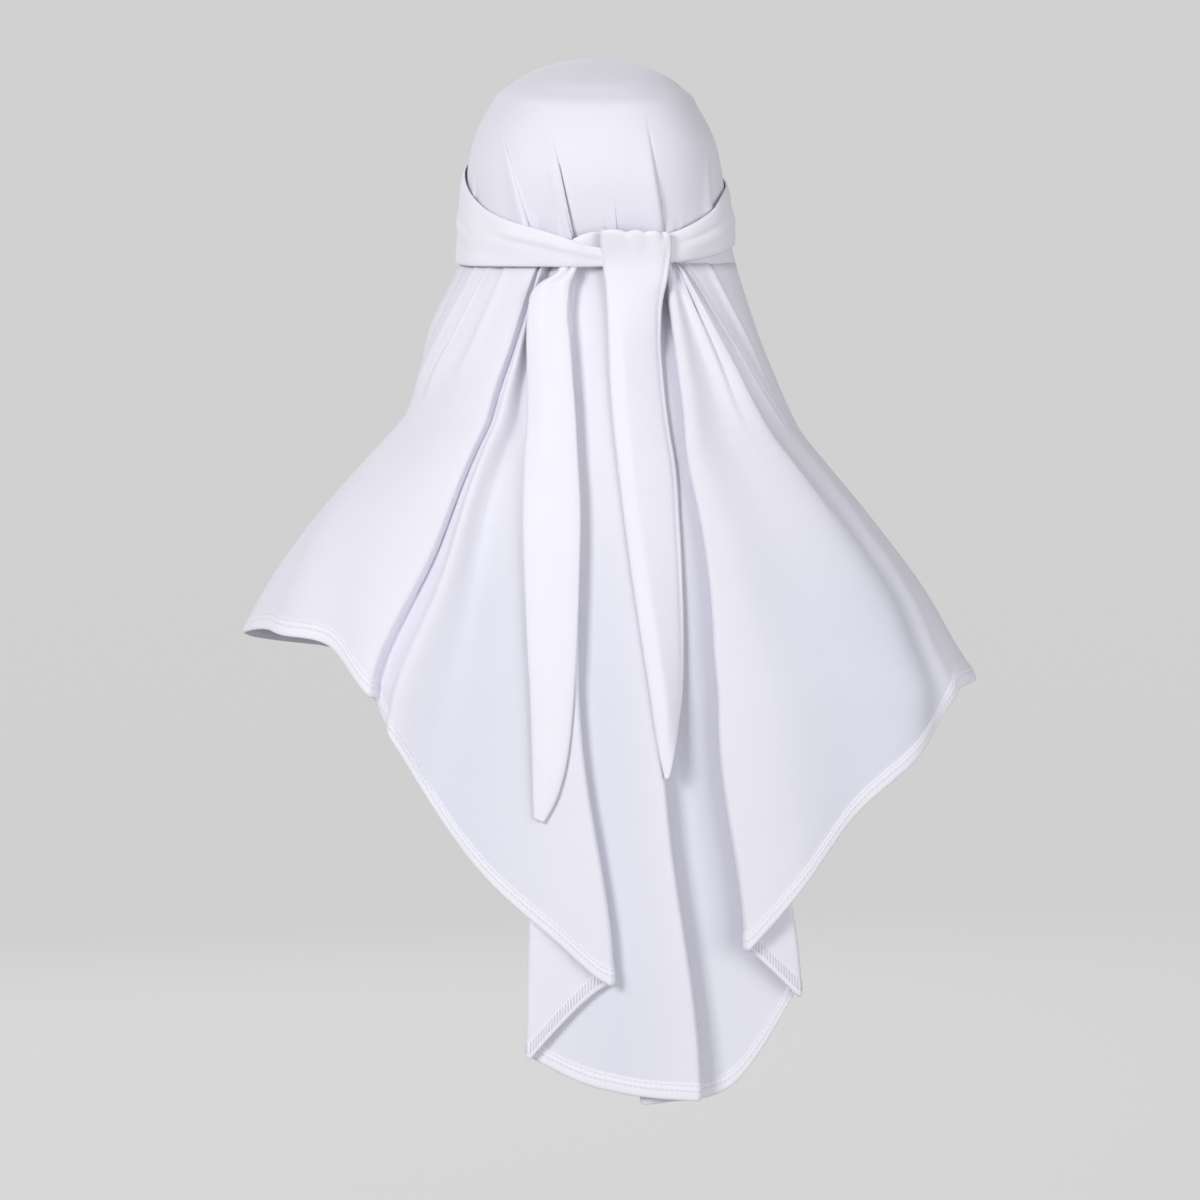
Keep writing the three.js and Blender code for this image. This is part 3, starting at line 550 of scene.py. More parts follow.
def crown_lift(form, points):
    """Soft ring round the flattened top of the hood"""
    across = points[..., 0] / form.head
    ring = (-0.047 + 0.020 * across ** 2) * form.height
    above = points[..., 2] - ring
    ridge = 0.9 * np.exp(-(above / 4.0) ** 2)
    flat = -1.3 * smooth(above / 9.0) * (1 - smooth((above - 12.0) / 16.0))
    return np.where(points[..., 1] > -20.0, ridge + flat, 0.0)


def crease_shape(form, lines, column, v):
    """Height and sideways shift of the creases between the folds, down one column"""
    lift = np.zeros(np.shape(v))
    shift = np.zeros(np.shape(v))
    if column["front"] < 1:
        return lift, shift
    for name, share, end, height, width, side in CREASES:
        before = max(i for i, line in enumerate(lines) if line["name"] == name)
        place = column["at"] + column["t"] - before - share
        if abs(place) > 2.5:
            continue
        own = on_line(form, lines[before], v)
        following = on_line(form, lines[before + 1], v)
        gap = np.linalg.norm(form.point(*own) - form.point(*following), axis=-1)
        wide = width * mix(0.45, 1.0, smooth(v * 3))
        step = round(place * BETWEEN) * side
        fade = smooth(v * 40)
        if end < 1:
            fade = fade * (1 - smooth((v - 0.4 * end) / (0.6 * end)))
        if step >= 0:
            lift += height * fade * np.exp(-(place * gap / wide) ** 2)
            shift += 0.8 * fade * (step == 0) * side
        else:
            lift -= 0.4 * height * fade * math.exp(-((step + 2) / 1.8) ** 2)
    return lift, shift


def cloth_grid(form, hem_width):
    """Middle surface of the main cloth: rows from the crown to the hem"""
    lines, columns = cloth_columns()
    count = len(columns)
    hood = np.arange(1, HOOD_ROWS * HOOD_FINE) / HOOD_FINE
    cape = np.arange(0, (CAPE_ROWS - 1) * FINE + 1) / (CAPE_ROWS * FINE)
    hem = np.array([step[0] for step in HEM_STEPS]) * hem_width
    grid = []
    for i, column in enumerate(columns):
        share = i / (count - 1)
        parts = [hood_column(form, lines, column, share, hood)]
        ends = cape_column(form, lines, column, np.array([0.97, 1.0]))
        last = form.point(*ends)
        speed = np.linalg.norm(last[1] - last[0]) / 0.03
        start = 1 - hem[0] / speed
        body = cape * min(1.0, (start - 0.01) / cape[-1])
        parts.append(cape_column(form, lines, column, body))
        parts.append(cape_column(form, lines, column, 1 - hem / speed))
        grid.append([np.concatenate([np.broadcast_to(p[k], np.shape(p[1]))
                                     for p in parts]) for k in range(3)])
    angle, z, lift = np.stack(grid, axis=2)
    angle, lift = draw_up(form, angle, z, lift)
    lift = lift + crown_lift(form, form.point(angle, z, lift))
    return form.point(angle, z, lift)


def grid_normals(points, closed):
    """Normals of a grid's middle surface, pointing outwards"""
    down = np.gradient(points, axis=0)
    across = np.gradient(points, axis=1)
    if closed.any():
        wrap = (points[:, 1] - points[:, -2]) / 2
        across[closed, 0] = wrap[closed]
        across[closed, -1] = wrap[closed]
        mean = (down[:, 0] + down[:, -1]) / 2
        down[closed, 0] = mean[closed]
        down[closed, -1] = mean[closed]
    normals = np.cross(down, across)
    size = np.linalg.norm(normals, axis=2, keepdims=True)
    return normals / np.maximum(size, 1e-12)


def shell_mesh(name, points, thickness, closed=None, cap=None):
    """Closed shell of a grid with a wall; a closed row joins its first and last column"""
    rows, cols, _three = points.shape
    closed = np.zeros(rows, bool) if closed is None else closed
    normals = grid_normals(points, closed)
    vertices = []
    for side in (0.5, -0.5):
        vertices.append((points + normals * (thickness * side)[..., None]).reshape(-1, 3))
        if cap is not None:
            vertices.append(np.array([[cap[0], cap[1], cap[2] + side * thickness[0, 0]]]))
    layer = rows * cols + (0 if cap is None else 1)
    index = np.arange(rows * cols).reshape(rows, cols)
    a = index[:-1, :-1].ravel()
    b = index[1:, :-1].ravel()
    c = index[1:, 1:].ravel()
    d = index[:-1, 1:].ravel()
    faces = [tuple(face) for face in np.stack([a, b, c, d], axis=1)]
    faces += [tuple(face) for face in np.stack([d, c, b, a], axis=1) + layer]
    pole = rows * cols
    for k in range(cols - 1):
        faces.append((index[-1, k + 1], index[-1, k],
                      index[-1, k] + layer, index[-1, k + 1] + layer))
        if cap is None:
            faces.append((index[0, k], index[0, k + 1],
                          index[0, k + 1] + layer, index[0, k] + layer))
        else:
            faces.append((pole, index[0, k], index[0, k + 1]))
            faces.append((pole + layer, index[0, k + 1] + layer, index[0, k] + layer))
    for r in range(rows - 1):
        if closed[r] and closed[r + 1]:
            continue
        faces.append((index[r + 1, 0], index[r, 0],
                      index[r, 0] + layer, index[r + 1, 0] + layer))
        faces.append((index[r, -1], index[r + 1, -1],
                      index[r + 1, -1] + layer, index[r, -1] + layer))
    mesh = bpy.data.meshes.new(name)
    mesh.from_pydata((np.concatenate(vertices) * MM).tolist(), [],
                     [tuple(int(i) for i in face) for face in faces])
    mesh.update()
    return mesh


def lengths(points, axis):
    """Distance along a grid from its first row or column"""
    steps = np.diff(points, axis=axis, prepend=np.take(points, [0], axis=axis))
    return np.cumsum(np.linalg.norm(steps, axis=2), axis=axis)


def add_uv(mesh, across, down, name="cloth"):
    """Gives a shell a UV map in metres along the cloth"""
    layer = mesh.uv_layers.new(name=name)
    flat = np.stack([across.ravel(), down.ravel()], axis=1) * MM
    count = len(flat)
    side = len(mesh.vertices) // 2
    where = np.zeros(len(mesh.loops), dtype=np.int64)
    mesh.loops.foreach_get("vertex_index", where)
    own = where % side
    uv = np.where((own < count)[:, None], flat[np.minimum(own, count - 1)], 0.0)
    layer.data.foreach_set("uv", uv.ravel().astype(np.float32))


def add_mask(mesh, name, values):
    """Gives a shell a value at each of its points, for its material"""
    flat = np.zeros(len(mesh.vertices) // 2, dtype=np.float32)
    flat[:values.size] = values.ravel()
    mask = mesh.attributes.new(name, "FLOAT", "POINT")
    mask.data.foreach_set("value", np.tile(flat, 2))


def see_through_shade_mask(form, points):
    """How much painted shade, for the dark clothes showing through a single layer, each point
    of the grid gets
    """
    lines, columns = cloth_columns()
    at_line = np.array([SEE_THROUGH_SHADE.get(line["name"], 0.0) for line in lines])
    place = np.array([column["at"] + column["t"] for column in columns])
    back = np.array([column["front"] == 1 for column in columns])
    across = np.interp(place, np.arange(len(lines)), at_line) * back
    down = smooth((-points[..., 2] / form.height - 0.38) / 0.16)
    return across[None, :] * down


def new_object(name, mesh, material):
    """Puts a mesh in the scene as a piece that rides with the frame"""
    mesh.materials.append(material)
    mesh.polygons.foreach_set("use_smooth", [True] * len(mesh.polygons))
    made = bpy.data.objects.new(name, mesh)
    bpy.context.scene.collection.objects.link(made)
    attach(made, "root")
    return made


def merge_doubles(made, distance=0.00002):
    """Joins the points that lie on each other where the cloth is closed"""
    bpy.ops.object.select_all(action="DESELECT")
    bpy.context.view_layer.objects.active = made
    made.select_set(True)
    bpy.ops.object.mode_set(mode="EDIT")
    bpy.ops.mesh.select_all(action="SELECT")
    bpy.ops.mesh.remove_doubles(threshold=distance)
    bpy.ops.object.mode_set(mode="OBJECT")
    made.select_set(False)


def socket(tree, name, kind, way, value=None):
    """Adds a socket to a node group"""
    made = tree.interface.new_socket(name=name, in_out=way, socket_type=kind)
    if value is not None:
        made.default_value = value


def add_math(tree, operation, first, second=None, third=None):
    """A Math node on values or sockets"""
    node = tree.nodes.new("ShaderNodeMath")
    node.operation = operation
    for at, value in enumerate((first, second, third)):
        if value is None:
            continue
        if isinstance(value, (int, float)):
            node.inputs[at].default_value = value
        else:
            tree.links.new(value, node.inputs[at])
    return node.outputs[0]


def add_scale(tree, vector, factor):
    """A vector or colour times a value"""
    node = tree.nodes.new("ShaderNodeVectorMath")
    node.operation = "SCALE"
    tree.links.new(vector, node.inputs[0])
    tree.links.new(factor, node.inputs["Scale"])
    return node.outputs[0]


def add_waves(tree, vector, direction, scale, distortion):
    """Soft stripes across one direction"""
    node = tree.nodes.new("ShaderNodeTexWave")
    node.bands_direction = direction
    node.inputs["Scale"].default_value = scale
    node.inputs["Distortion"].default_value = distortion
    tree.links.new(vector, node.inputs["Vector"])
    return node


def add_noise(tree, vector, scale, detail):
    """Noise of one size"""
    node = tree.nodes.new("ShaderNodeTexNoise")
    node.inputs["Scale"].default_value = scale
    node.inputs["Detail"].default_value = detail
    tree.links.new(vector, node.inputs["Vector"])
    return node.outputs["Fac"]


def add_range(tree, value, low, high):
    """A value from 0 to 1 spread between two limits"""
    node = tree.nodes.new("ShaderNodeMapRange")
    node.inputs["To Min"].default_value = low
    node.inputs["To Max"].default_value = high
    tree.links.new(value, node.inputs["Value"])
    return node.outputs["Result"]


def ramp(tree, value, low, high):
    """0 to 1 as a value goes from one limit to the other"""
    node = tree.nodes.new("ShaderNodeMapRange")
    node.interpolation_type = "SMOOTHSTEP"
    node.inputs["From Min"].default_value = low
    node.inputs["From Max"].default_value = high
    tree.links.new(value, node.inputs["Value"])
    return node.outputs["Result"]


def blend(tree, factor, first, second):
    """Two colours mixed, each a colour or a socket"""
    node = tree.nodes.new("ShaderNodeMix")
    node.data_type = "RGBA"
    tree.links.new(factor, node.inputs["Factor"])
    for at, value in ((6, first), (7, second)):
        if isinstance(value, tuple):
            node.inputs[at].default_value = value
        else:
            tree.links.new(value, node.inputs[at])
    return node.outputs[2]


def jersey_group():
    """Colour, roughness and bump of fine knitted jersey"""
    group = bpy.data.node_groups.new("jersey_knit", "ShaderNodeTree")
    socket(group, "Colour", "NodeSocketColor", "INPUT", (0.8, 0.8, 0.85, 1.0))
    socket(group, "Stitch size", "NodeSocketFloat", "INPUT", KNIT_SIZE)
    socket(group, "Bump", "NodeSocketFloat", "INPUT", KNIT_BUMP)
    socket(group, "Colour", "NodeSocketColor", "OUTPUT")
    socket(group, "Roughness", "NodeSocketFloat", "OUTPUT")
    socket(group, "Normal", "NodeSocketVector", "OUTPUT")
    nodes = group.nodes
    links = group.links
    given = nodes.new("NodeGroupInput")
    out = nodes.new("NodeGroupOutput")
    uv = nodes.new("ShaderNodeUVMap")
    uv.uv_map = "cloth"
    scale = add_math(group, "DIVIDE", 1.0, given.outputs["Stitch size"])
    sized = add_scale(group, uv.outputs["UV"], scale)
    wales = add_waves(group, sized, "X", 0.32, 1.2)
    wales.inputs["Detail"].default_value = 1.0
    wales.inputs["Detail Scale"].default_value = 2.0
    courses = add_waves(group, sized, "Y", 0.42, 0.8)
    knit = add_math(group, "MULTIPLY_ADD", courses.outputs["Fac"], 0.5, wales.outputs["Fac"])
    place = nodes.new("ShaderNodeTexCoord").outputs["Object"]
    fibre = add_noise(group, place, 900.0, 3.0)
    bump = nodes.new("ShaderNodeBump")
    bump.inputs["Distance"].default_value = 0.00012
    links.new(given.outputs["Bump"], bump.inputs["Strength"])
    links.new(add_math(group, "MULTIPLY_ADD", fibre, 0.8, knit), bump.inputs["Height"])
    links.new(bump.outputs["Normal"], out.inputs["Normal"])
    tone = add_range(group, add_noise(group, place, 14.0, 2.0), 0.975, 1.015)
    links.new(add_scale(group, given.outputs["Colour"], tone), out.inputs["Colour"])
    links.new(add_range(group, fibre, 0.62, 0.78), out.inputs["Roughness"])
    return group


def jersey_material(name, colour):
    """White jersey with a soft sheen"""
    group = bpy.data.node_groups.get("jersey_knit") or jersey_group()
    material = bpy.data.materials.new(name)
    material.use_nodes = True
    nodes = material.node_tree.nodes
    links = material.node_tree.links
    shader = nodes["Principled BSDF"]
    shader.inputs["Sheen Weight"].default_value = 0.35
    shader.inputs["Sheen Roughness"].default_value = 0.45
    shader.inputs["Sheen Tint"].default_value = (0.95, 0.94, 1.0, 1.0)
    shader.inputs["Specular IOR Level"].default_value = 0.25
    knit = nodes.new("ShaderNodeGroup")
    knit.node_tree = group
    knit.inputs["Colour"].default_value = (*colour, 1.0)
    knit.inputs["Stitch size"].default_value = KNIT_SIZE
    knit.inputs["Bump"].default_value = KNIT_BUMP
    links.new(knit.outputs["Colour"], shader.inputs["Base Color"])
    links.new(knit.outputs["Roughness"], shader.inputs["Roughness"])
    links.new(knit.outputs["Normal"], shader.inputs["Normal"])
    return material


def mask_colour(material, mask, colour):
    """Turns the cloth's colour towards another where a mask is high"""
    tree = material.node_tree
    knit = next(node for node in tree.nodes if node.type == "GROUP")
    source = tree.nodes.new("ShaderNodeAttribute")
    source.attribute_name = mask
    own = tuple(knit.inputs["Colour"].default_value)
    mixed = blend(tree, source.outputs["Fac"], own, (*colour, 1.0))
    tree.links.new(mixed, knit.inputs["Colour"])


def stitch_group():
    """Hem band and its stitching: two rows of stitches outside, a ladder of stitching inside;
    the stitch mask also places painted shade in the stitch dimples
    """
    group = bpy.data.node_groups.new("hem_stitches", "ShaderNodeTree")
    socket(group, "Along", "NodeSocketFloat", "INPUT", 0.0)
    socket(group, "From edge", "NodeSocketFloat", "INPUT", 1.0)
    socket(group, "Inside", "NodeSocketFloat", "INPUT", 0.0)
    socket(group, "Stitch length", "NodeSocketFloat", "INPUT", 0.0032)
    socket(group, "Band", "NodeSocketFloat", "OUTPUT")
    socket(group, "Thread and shade", "NodeSocketFloat", "OUTPUT")
    given = group.nodes.new("NodeGroupInput")
    out = group.nodes.new("NodeGroupOutput")
    along = given.outputs["Along"]
    edge = given.outputs["From edge"]
    beat = add_math(group, "DIVIDE", along, given.outputs["Stitch length"])
    wave = add_math(group, "SINE", add_math(group, "MULTIPLY", beat, 2 * math.pi))
    dash = ramp(group, wave, -0.75, -0.35)
    rows = []
    for level in (0.88, 0.58):
        away = add_math(group, "ABSOLUTE", add_math(group, "SUBTRACT", edge, level))
        rows.append(ramp(group, away, 0.085, 0.03))
    twin = add_math(group, "MULTIPLY", add_math(group, "MAXIMUM", rows[0], rows[1]), dash)
    rung = add_math(group, "SINE", add_math(group, "MULTIPLY", beat, 2.6 * math.pi))
    ladder = add_math(group, "MULTIPLY", ramp(group, rung, 0.1, 0.6),
                      add_math(group, "MULTIPLY", ramp(group, edge, 0.32, 0.40),
                               ramp(group, edge, 0.98, 0.90)))
    inner = add_math(group, "MULTIPLY", ladder, given.outputs["Inside"])
    outer = add_math(group, "MULTIPLY", add_math(group, "MULTIPLY", twin, 0.45),
                     add_math(group, "SUBTRACT", 1.0, given.outputs["Inside"]))
    group.links.new(add_math(group, "ADD", inner, outer), out.inputs["Thread and shade"])
    group.links.new(ramp(group, edge, 1.04, 0.96), out.inputs["Band"])
    return group


def stitched_hem(material, width, colours):
    """Shows the turned hem and its stitching in a jersey material; the stitches' darker colour
    is partly painted shade in their dimples
    """
    tree = material.node_tree
    nodes = tree.nodes
    links = tree.links
    shader = nodes["Principled BSDF"]
    knit = next(node for node in nodes if node.type == "GROUP")
    uv = nodes.new("ShaderNodeUVMap")
    uv.uv_map = "hem"
    parts = nodes.new("ShaderNodeSeparateXYZ")
    links.new(uv.outputs["UV"], parts.inputs[0])
    inside = nodes.new("ShaderNodeAttribute")
    inside.attribute_name = "inside"
    stitches = nodes.new("ShaderNodeGroup")
    stitches.node_tree = bpy.data.node_groups.get("hem_stitches") or stitch_group()
    links.new(parts.outputs["X"], stitches.inputs["Along"])
    links.new(add_math(tree, "DIVIDE", parts.outputs["Y"], width), stitches.inputs["From edge"])
    links.new(inside.outputs["Fac"], stitches.inputs["Inside"])
    banded = blend(tree, stitches.outputs["Band"], knit.outputs["Colour"], (*colours.tie, 1.0))
    # Stitches get the darker colour, partly the thread and partly painted shade in their
    # dimples
    thread_and_shade_colour = blend(tree, stitches.outputs["Thread and shade"], banded, (*colours.thread_and_shade, 1.0))
    links.new(thread_and_shade_colour, shader.inputs["Base Color"])
    bump = nodes.new("ShaderNodeBump")
    bump.inputs["Strength"].default_value = 0.8
    bump.inputs["Distance"].default_value = 0.0005
    links.new(stitches.outputs["Thread and shade"], bump.inputs["Height"])
    links.new(knit.outputs["Normal"], bump.inputs["Normal"])
    links.new(bump.outputs["Normal"], shader.inputs["Normal"])


def cloth_lift(tree, form, angle, z, width=3.0, drop=2.0, far=60.0):
    """Greatest lift of the cloth over the outline near each place, from outside"""
    shape = np.shape(angle)
    outside = form.point(angle, z, np.full(shape, far))
    inward = form.point(angle, z, np.zeros(shape)) - outside
    inward /= np.linalg.norm(inward, axis=-1, keepdims=True)
    most = np.full(shape, -far)
    for spot in np.ndindex(shape):
        ray = Vector(inward[spot])
        along = Vector((-ray.y, ray.x, 0.0))
        start = Vector(outside[spot])
        for i in (-1.0, -0.5, 0.0, 0.5, 1.0):
            for k in (-1.0, 0.0, 1.0):
                begin = start + along * (i * width) + Vector((0, 0, k * drop))
                _hit, _normal, _face, distance = tree.ray_cast(begin * MM, ray)
                if distance is not None:
                    most[spot] = max(most[spot], far - distance / MM)
    return most


class HIJAB_OT_main_cloth(bpy.types.Operator):
    """Adds the hood and cape as one hemmed cloth"""

    bl_idname = "hijab.main_cloth"
    bl_label = "Hood and cape"

    def execute(self, context):
        sizes = context.scene.hijab_sizes
        form = Form(sizes)
        points = cloth_grid(form, sizes.hem_width / MM)
        rows, cols, _three = points.shape
        gap = np.linalg.norm(points[:, 0] - points[:, -1], axis=1)
        closed = gap < 0.01
        points[closed, -1] = points[closed, 0]
        thickness = np.full((rows, cols), sizes.cloth_wall / MM)
        for k, (_from_edge, share) in enumerate(HEM_STEPS):
            thickness[k - len(HEM_STEPS)] = sizes.hem_wall / MM * share
        at_edge = np.clip(4.0 - np.arange(cols), 0.0, 1.0)
        at_edge = np.maximum(at_edge, at_edge[::-1])[None, :] * ~closed[:, None]
        thickness = np.maximum(thickness, at_edge * sizes.hem_wall / MM)
        cap = (0.0, 0.0, sizes.cloth_wall / MM / 2)
        mesh = shell_mesh("hood_and_cape", points, thickness, closed, cap)
        add_uv(mesh, lengths(points, 1), lengths(points, 0))
        along = np.broadcast_to(lengths(points[-1:], 1), (rows, cols))
        from_edge = lengths(points[::-1], 0)[::-1]
        add_uv(mesh, along, from_edge, "hem")
        add_mask(mesh, "see_through_shade", see_through_shade_mask(form, points))
        side = np.zeros(len(mesh.vertices), dtype=np.float32)
        side[len(side) // 2:] = 1.0
        inside = mesh.attributes.new("inside", "FLOAT", "POINT")
        inside.data.foreach_set("value", side)
        colours = context.scene.hijab_colours
        material = jersey_material("white_jersey", colours.cloth)
        # The cloth turns darker where the mask is high: painted shade for the dark clothes
        # showing through
        mask_colour(material, "see_through_shade", colours.see_through_shade)
        stitched_hem(material, sizes.hem_width, colours)
        piece = new_object("hood_and_cape", mesh, material)
        merge_doubles(piece)
        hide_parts("hood_cape")
        return {"FINISHED"}


class HIJAB_OT_ties(bpy.types.Operator):
    """Adds the two knotted ties over the cloth"""

    bl_idname = "hijab.ties"
    bl_label = "Ties"

    def execute(self, context):
        sizes = context.scene.hijab_sizes
        form = Form(sizes)
        wall = sizes.tie_wall / MM
        cloth = bpy.data.objects["hood_and_cape"]
        tree = BVHTree.FromObject(cloth, context.evaluated_depsgraph_get())
        colours = context.scene.hijab_colours
        material = jersey_material("tie_jersey", colours.tie)
        whole = band_stations(form, RIGHT_BAND) + tail_stations(form, LEFT_TAIL)
        under = self.strip("tie_under", tree, form, whole, wall, material)
        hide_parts("tie_right")
        band = self.strip("tie_band_over", tree, form, band_stations(form, LEFT_BAND),
                          wall, material)
        tail = self.strip("tie_tail_over", tree, form, tail_stations(form, RIGHT_TAIL),
                          wall, material)
        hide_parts("tie_left")
        return {"FINISHED"}

    def strip(self, name, tree, form, stations, wall, material):
        """One tie as a flattened tube along its stations"""
        table = refined(stations, TIE_STEPS)
        t = np.linspace(0.0, 1.0, TIE_POINTS)
        angle = mix(table[:, None, 0], table[:, None, 1], t)
        z = mix(table[:, None, 2], table[:, None, 3], t)
        along = np.linspace(0.0, 1.0, len(table))[:, None]
        free = smooth(along / SEWN[name]) if name in SEWN else np.ones(along.shape)
        resting = cloth_lift(tree, form, angle, z)
        lift = mix(resting, calmed(resting, *TIE_BRIDGE), free) + TIE_GAP + wall / 2
        lift = lift + table[:, None, 4] * (wall + LAYER_GAP)
        flat = form.point(angle, z, lift)
        wide = np.linalg.norm(flat[:, -1] - flat[:, 0], axis=-1)[:, None]
        raised = tie_fold_lift(name, t, wide)
        crown = np.minimum(TIE_CROWN, 0.08 * wide) * (1 - (2 * t - 1) ** 4) * free
        points = form.point(angle, z + 0.5 * raised, lift + crown + np.maximum(raised, -1.0))
        edge = 1 - np.abs(2 * t - 1) ** 10
        thickness = wall * np.maximum(0.25, np.sqrt(edge)) * mix(0.5, 1.0, free)
        mesh = shell_mesh(name, points, thickness)
        add_uv(mesh, lengths(points, 1), lengths(points, 0))
        return new_object(name, mesh, material)


def calmed(lift, along, across):
    """Heights with hollows bridged and bumps softened over a few stations and places"""
    for axis, reach in ((0, along), (1, across)):
        spread = [(0, 0), (0, 0)]
        spread[axis] = (reach, reach)
        count = lift.shape[axis]
        padded = np.pad(lift, spread, mode="edge")
        windows = [np.take(padded, np.arange(k, k + count), axis=axis)
                   for k in range(2 * reach + 1)]
        highest = np.pad(np.max(windows, axis=0), spread, mode="edge")
        lift = np.mean([np.take(highest, np.arange(k, k + count), axis=axis)
                        for k in range(2 * reach + 1)], axis=0)
    return lift


def tie_fold_lift(name, t, wide):
    """Height of the folds along a tie, by stations and places across"""
    along = np.linspace(0.0, 1.0, len(wide))[:, None]
    raised = np.zeros((len(wide), len(t)))
    for start, end, first, last, height, before, after in TIE_FOLDS[name]:
        share = np.clip((along - start) / (end - start), 0.0, 1.0)
        across = (t - mix(first, last, share)) * wide
        width = np.where(across < 0, before, after)
        width = np.minimum(width, 0.2 * wide)
        fade = np.minimum(1.0, (along - start) / 0.04 + 1.0) if start == 0 else smooth(
            (along - start) / 0.06)
        fade = fade * (1 - smooth((share - 0.35) / 0.65))
        raised += height * fade * np.exp(-(across / width) ** 2)
    return raised


def refined(stations, steps):
    """Stations with softly curved ones between them"""
    table = np.array(stations)
    last = len(table) - 1
    made = []
    for i in range(last + 1):
        four = [table[min(last, max(0, i + k))] for k in (-1, 0, 1, 2)]
        for k in range(1 if i == last else steps):
            made.append(curve(*four, k / steps))
    return np.array(made)


def band_stations(form, table):
    """Stations of a band: both edges' angles and levels, and the layer"""
    return [(float(place_angle(place)), float(place_angle(place)),
             -top * form.height, -bottom * form.height, layer)
            for place, top, bottom, layer in table]


def tail_stations(form, table):
    """Stations of a tail, from its edges' distances across the back"""
    made = []
    for outer, outer_z, inner, inner_z, layer in table:
        high = -outer_z * form.height
        low = -inner_z * form.height
        start = place_angle(outer * form.head / form.half(high, outer))
        end = place_angle(inner * form.head / form.half(low, inner))
        made.append((float(start), float(end), high, low, layer))
    return made


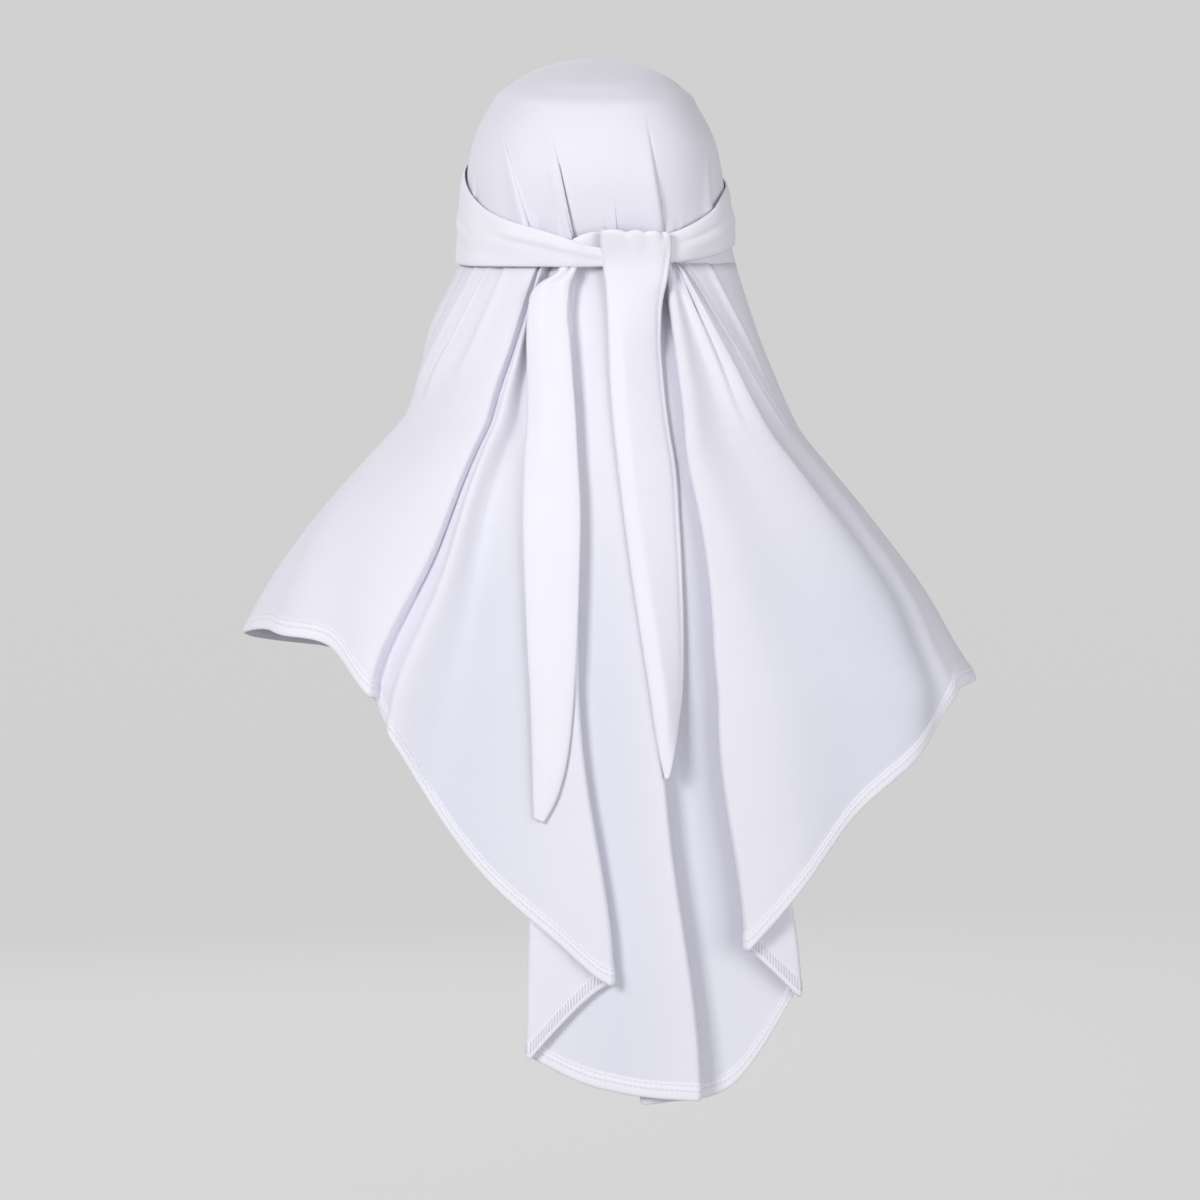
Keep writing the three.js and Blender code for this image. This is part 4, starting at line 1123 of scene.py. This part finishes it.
class HIJAB_OT_stage(bpy.types.Operator):
    """Adds the floor, the backdrop, the lights and the camera"""

    bl_idname = "hijab.stage"
    bl_label = "Stage"

    def execute(self, context):
        colour = context.scene.hijab_colours.backdrop
        material = bpy.data.materials.new("backdrop")
        material.use_nodes = True
        shader = material.node_tree.nodes["Principled BSDF"]
        shader.inputs["Base Color"].default_value = (0.12, 0.12, 0.12, 1.0)
        shader.inputs["Roughness"].default_value = 0.95
        shader.inputs["Specular IOR Level"].default_value = 0.0
        shader.inputs["Emission Color"].default_value = (*colour, 1.0)
        shader.inputs["Emission Strength"].default_value = 0.90
        material.cycles.emission_sampling = "NONE"
        self.backdrop(material)
        self.light("key", (1.7, 2.5, 0.7), 0.9, 54.0)
        self.light("fill", (-2.0, 2.2, -0.1), 2.2, 38.0)
        self.light("side", (2.8, -0.4, 0.0), 2.0, 9.0)
        self.light("front", (0.6, -2.4, 0.6), 2.4, 26.0)
        world = bpy.data.worlds.new("studio")
        context.scene.world = world
        world.use_nodes = True
        world.node_tree.nodes["Background"].inputs[0].default_value = (0.80, 0.80, 0.82, 1.0)
        world.node_tree.nodes["Background"].inputs[1].default_value = 0.40
        context.scene.view_settings.view_transform = "Standard"
        self.camera(context)
        return {"FINISHED"}

    def backdrop(self, material, radius=5.0, bend=1.5, top=3.2, floor=-1.05):
        """Pale floor that curves up into a round backdrop"""
        rings = [(0.02, floor), (radius - bend, floor)]
        for k in range(1, 13):
            turn = math.pi / 2 * k / 12
            rings.append((radius - bend + bend * math.sin(turn),
                          floor + bend * (1 - math.cos(turn))))
        rings.append((radius, top))
        round_steps = 64
        vertices = []
        for wide, level in rings:
            for k in range(round_steps):
                turn = 2 * math.pi * k / round_steps
                vertices.append((wide * math.cos(turn), wide * math.sin(turn), level))
        faces = [tuple(reversed(range(round_steps)))]
        for r in range(len(rings) - 1):
            for k in range(round_steps):
                following = (k + 1) % round_steps
                faces.append((r * round_steps + k, (r + 1) * round_steps + k,
                              (r + 1) * round_steps + following, r * round_steps + following))
        mesh = bpy.data.meshes.new("backdrop")
        mesh.from_pydata(vertices, [], faces)
        mesh.polygons.foreach_set("use_smooth", [True] * len(mesh.polygons))
        mesh.materials.append(material)
        made = bpy.data.objects.new("backdrop", mesh)
        made.visible_diffuse = False
        bpy.context.scene.collection.objects.link(made)

    def light(self, name, place, size, power):
        """One soft square light aimed at the cloth"""
        data = bpy.data.lights.new(name, "AREA")
        data.shape = "SQUARE"
        data.size = size
        data.energy = power
        made = bpy.data.objects.new(name, data)
        made.location = place
        aim = Vector((0.0, 0.0, -0.3)) - Vector(place)
        made.rotation_euler = aim.to_track_quat("-Z", "Y").to_euler()
        bpy.context.scene.collection.objects.link(made)

    def camera(self, context):
        """Camera behind the wearer, a little above, as in the photograph"""
        distance = 2.8
        rise = math.radians(5.0)
        target = Vector((0.0019, 0.040, -0.3396))
        data = bpy.data.cameras.new("camera")
        data.sensor_width = 36.0
        data.lens = data.sensor_width * distance / SEEN_WIDTH
        made = bpy.data.objects.new("camera", data)
        away = Vector((0.0, math.cos(rise), math.sin(rise)))
        made.location = target + away * distance
        made.rotation_euler = (-away).to_track_quat("-Z", "Y").to_euler()
        context.scene.collection.objects.link(made)
        context.scene.camera = made


class HIJAB_PT_panel(bpy.types.Panel):
    """Lists the sizes, colours and pieces"""

    bl_idname = "HIJAB_PT_panel"
    bl_label = "Instant hijab"
    bl_space_type = "VIEW_3D"
    bl_region_type = "UI"
    bl_category = "Hijab"

    def draw(self, context):
        layout = self.layout
        for group in (context.scene.hijab_sizes, context.scene.hijab_colours):
            for name in group.__annotations__:
                layout.prop(group, name)
        for operator in OPERATORS:
            layout.operator(operator.bl_idname)


OPERATORS = (HIJAB_OT_main_cloth, HIJAB_OT_ties, HIJAB_OT_stage)
CLASSES = (HijabSizes, HijabColours, *OPERATORS, HIJAB_PT_panel)


def register():
    """Registers the classes and their properties"""
    for kind in CLASSES:
        bpy.utils.register_class(kind)
    bpy.types.Scene.hijab_sizes = bpy.props.PointerProperty(type=HijabSizes)
    bpy.types.Scene.hijab_colours = bpy.props.PointerProperty(type=HijabColours)


def unregister():
    """Removes them again"""
    del bpy.types.Scene.hijab_colours
    del bpy.types.Scene.hijab_sizes
    for kind in reversed(CLASSES):
        bpy.utils.unregister_class(kind)


def main():
    """Builds every piece"""
    register()
    bpy.ops.object.select_all(action="DESELECT")
    bpy.ops.hijab.main_cloth()
    bpy.ops.hijab.ties()
    bpy.ops.hijab.stage()
    bpy.context.view_layer.update()


if __name__ == "__main__":
    main()
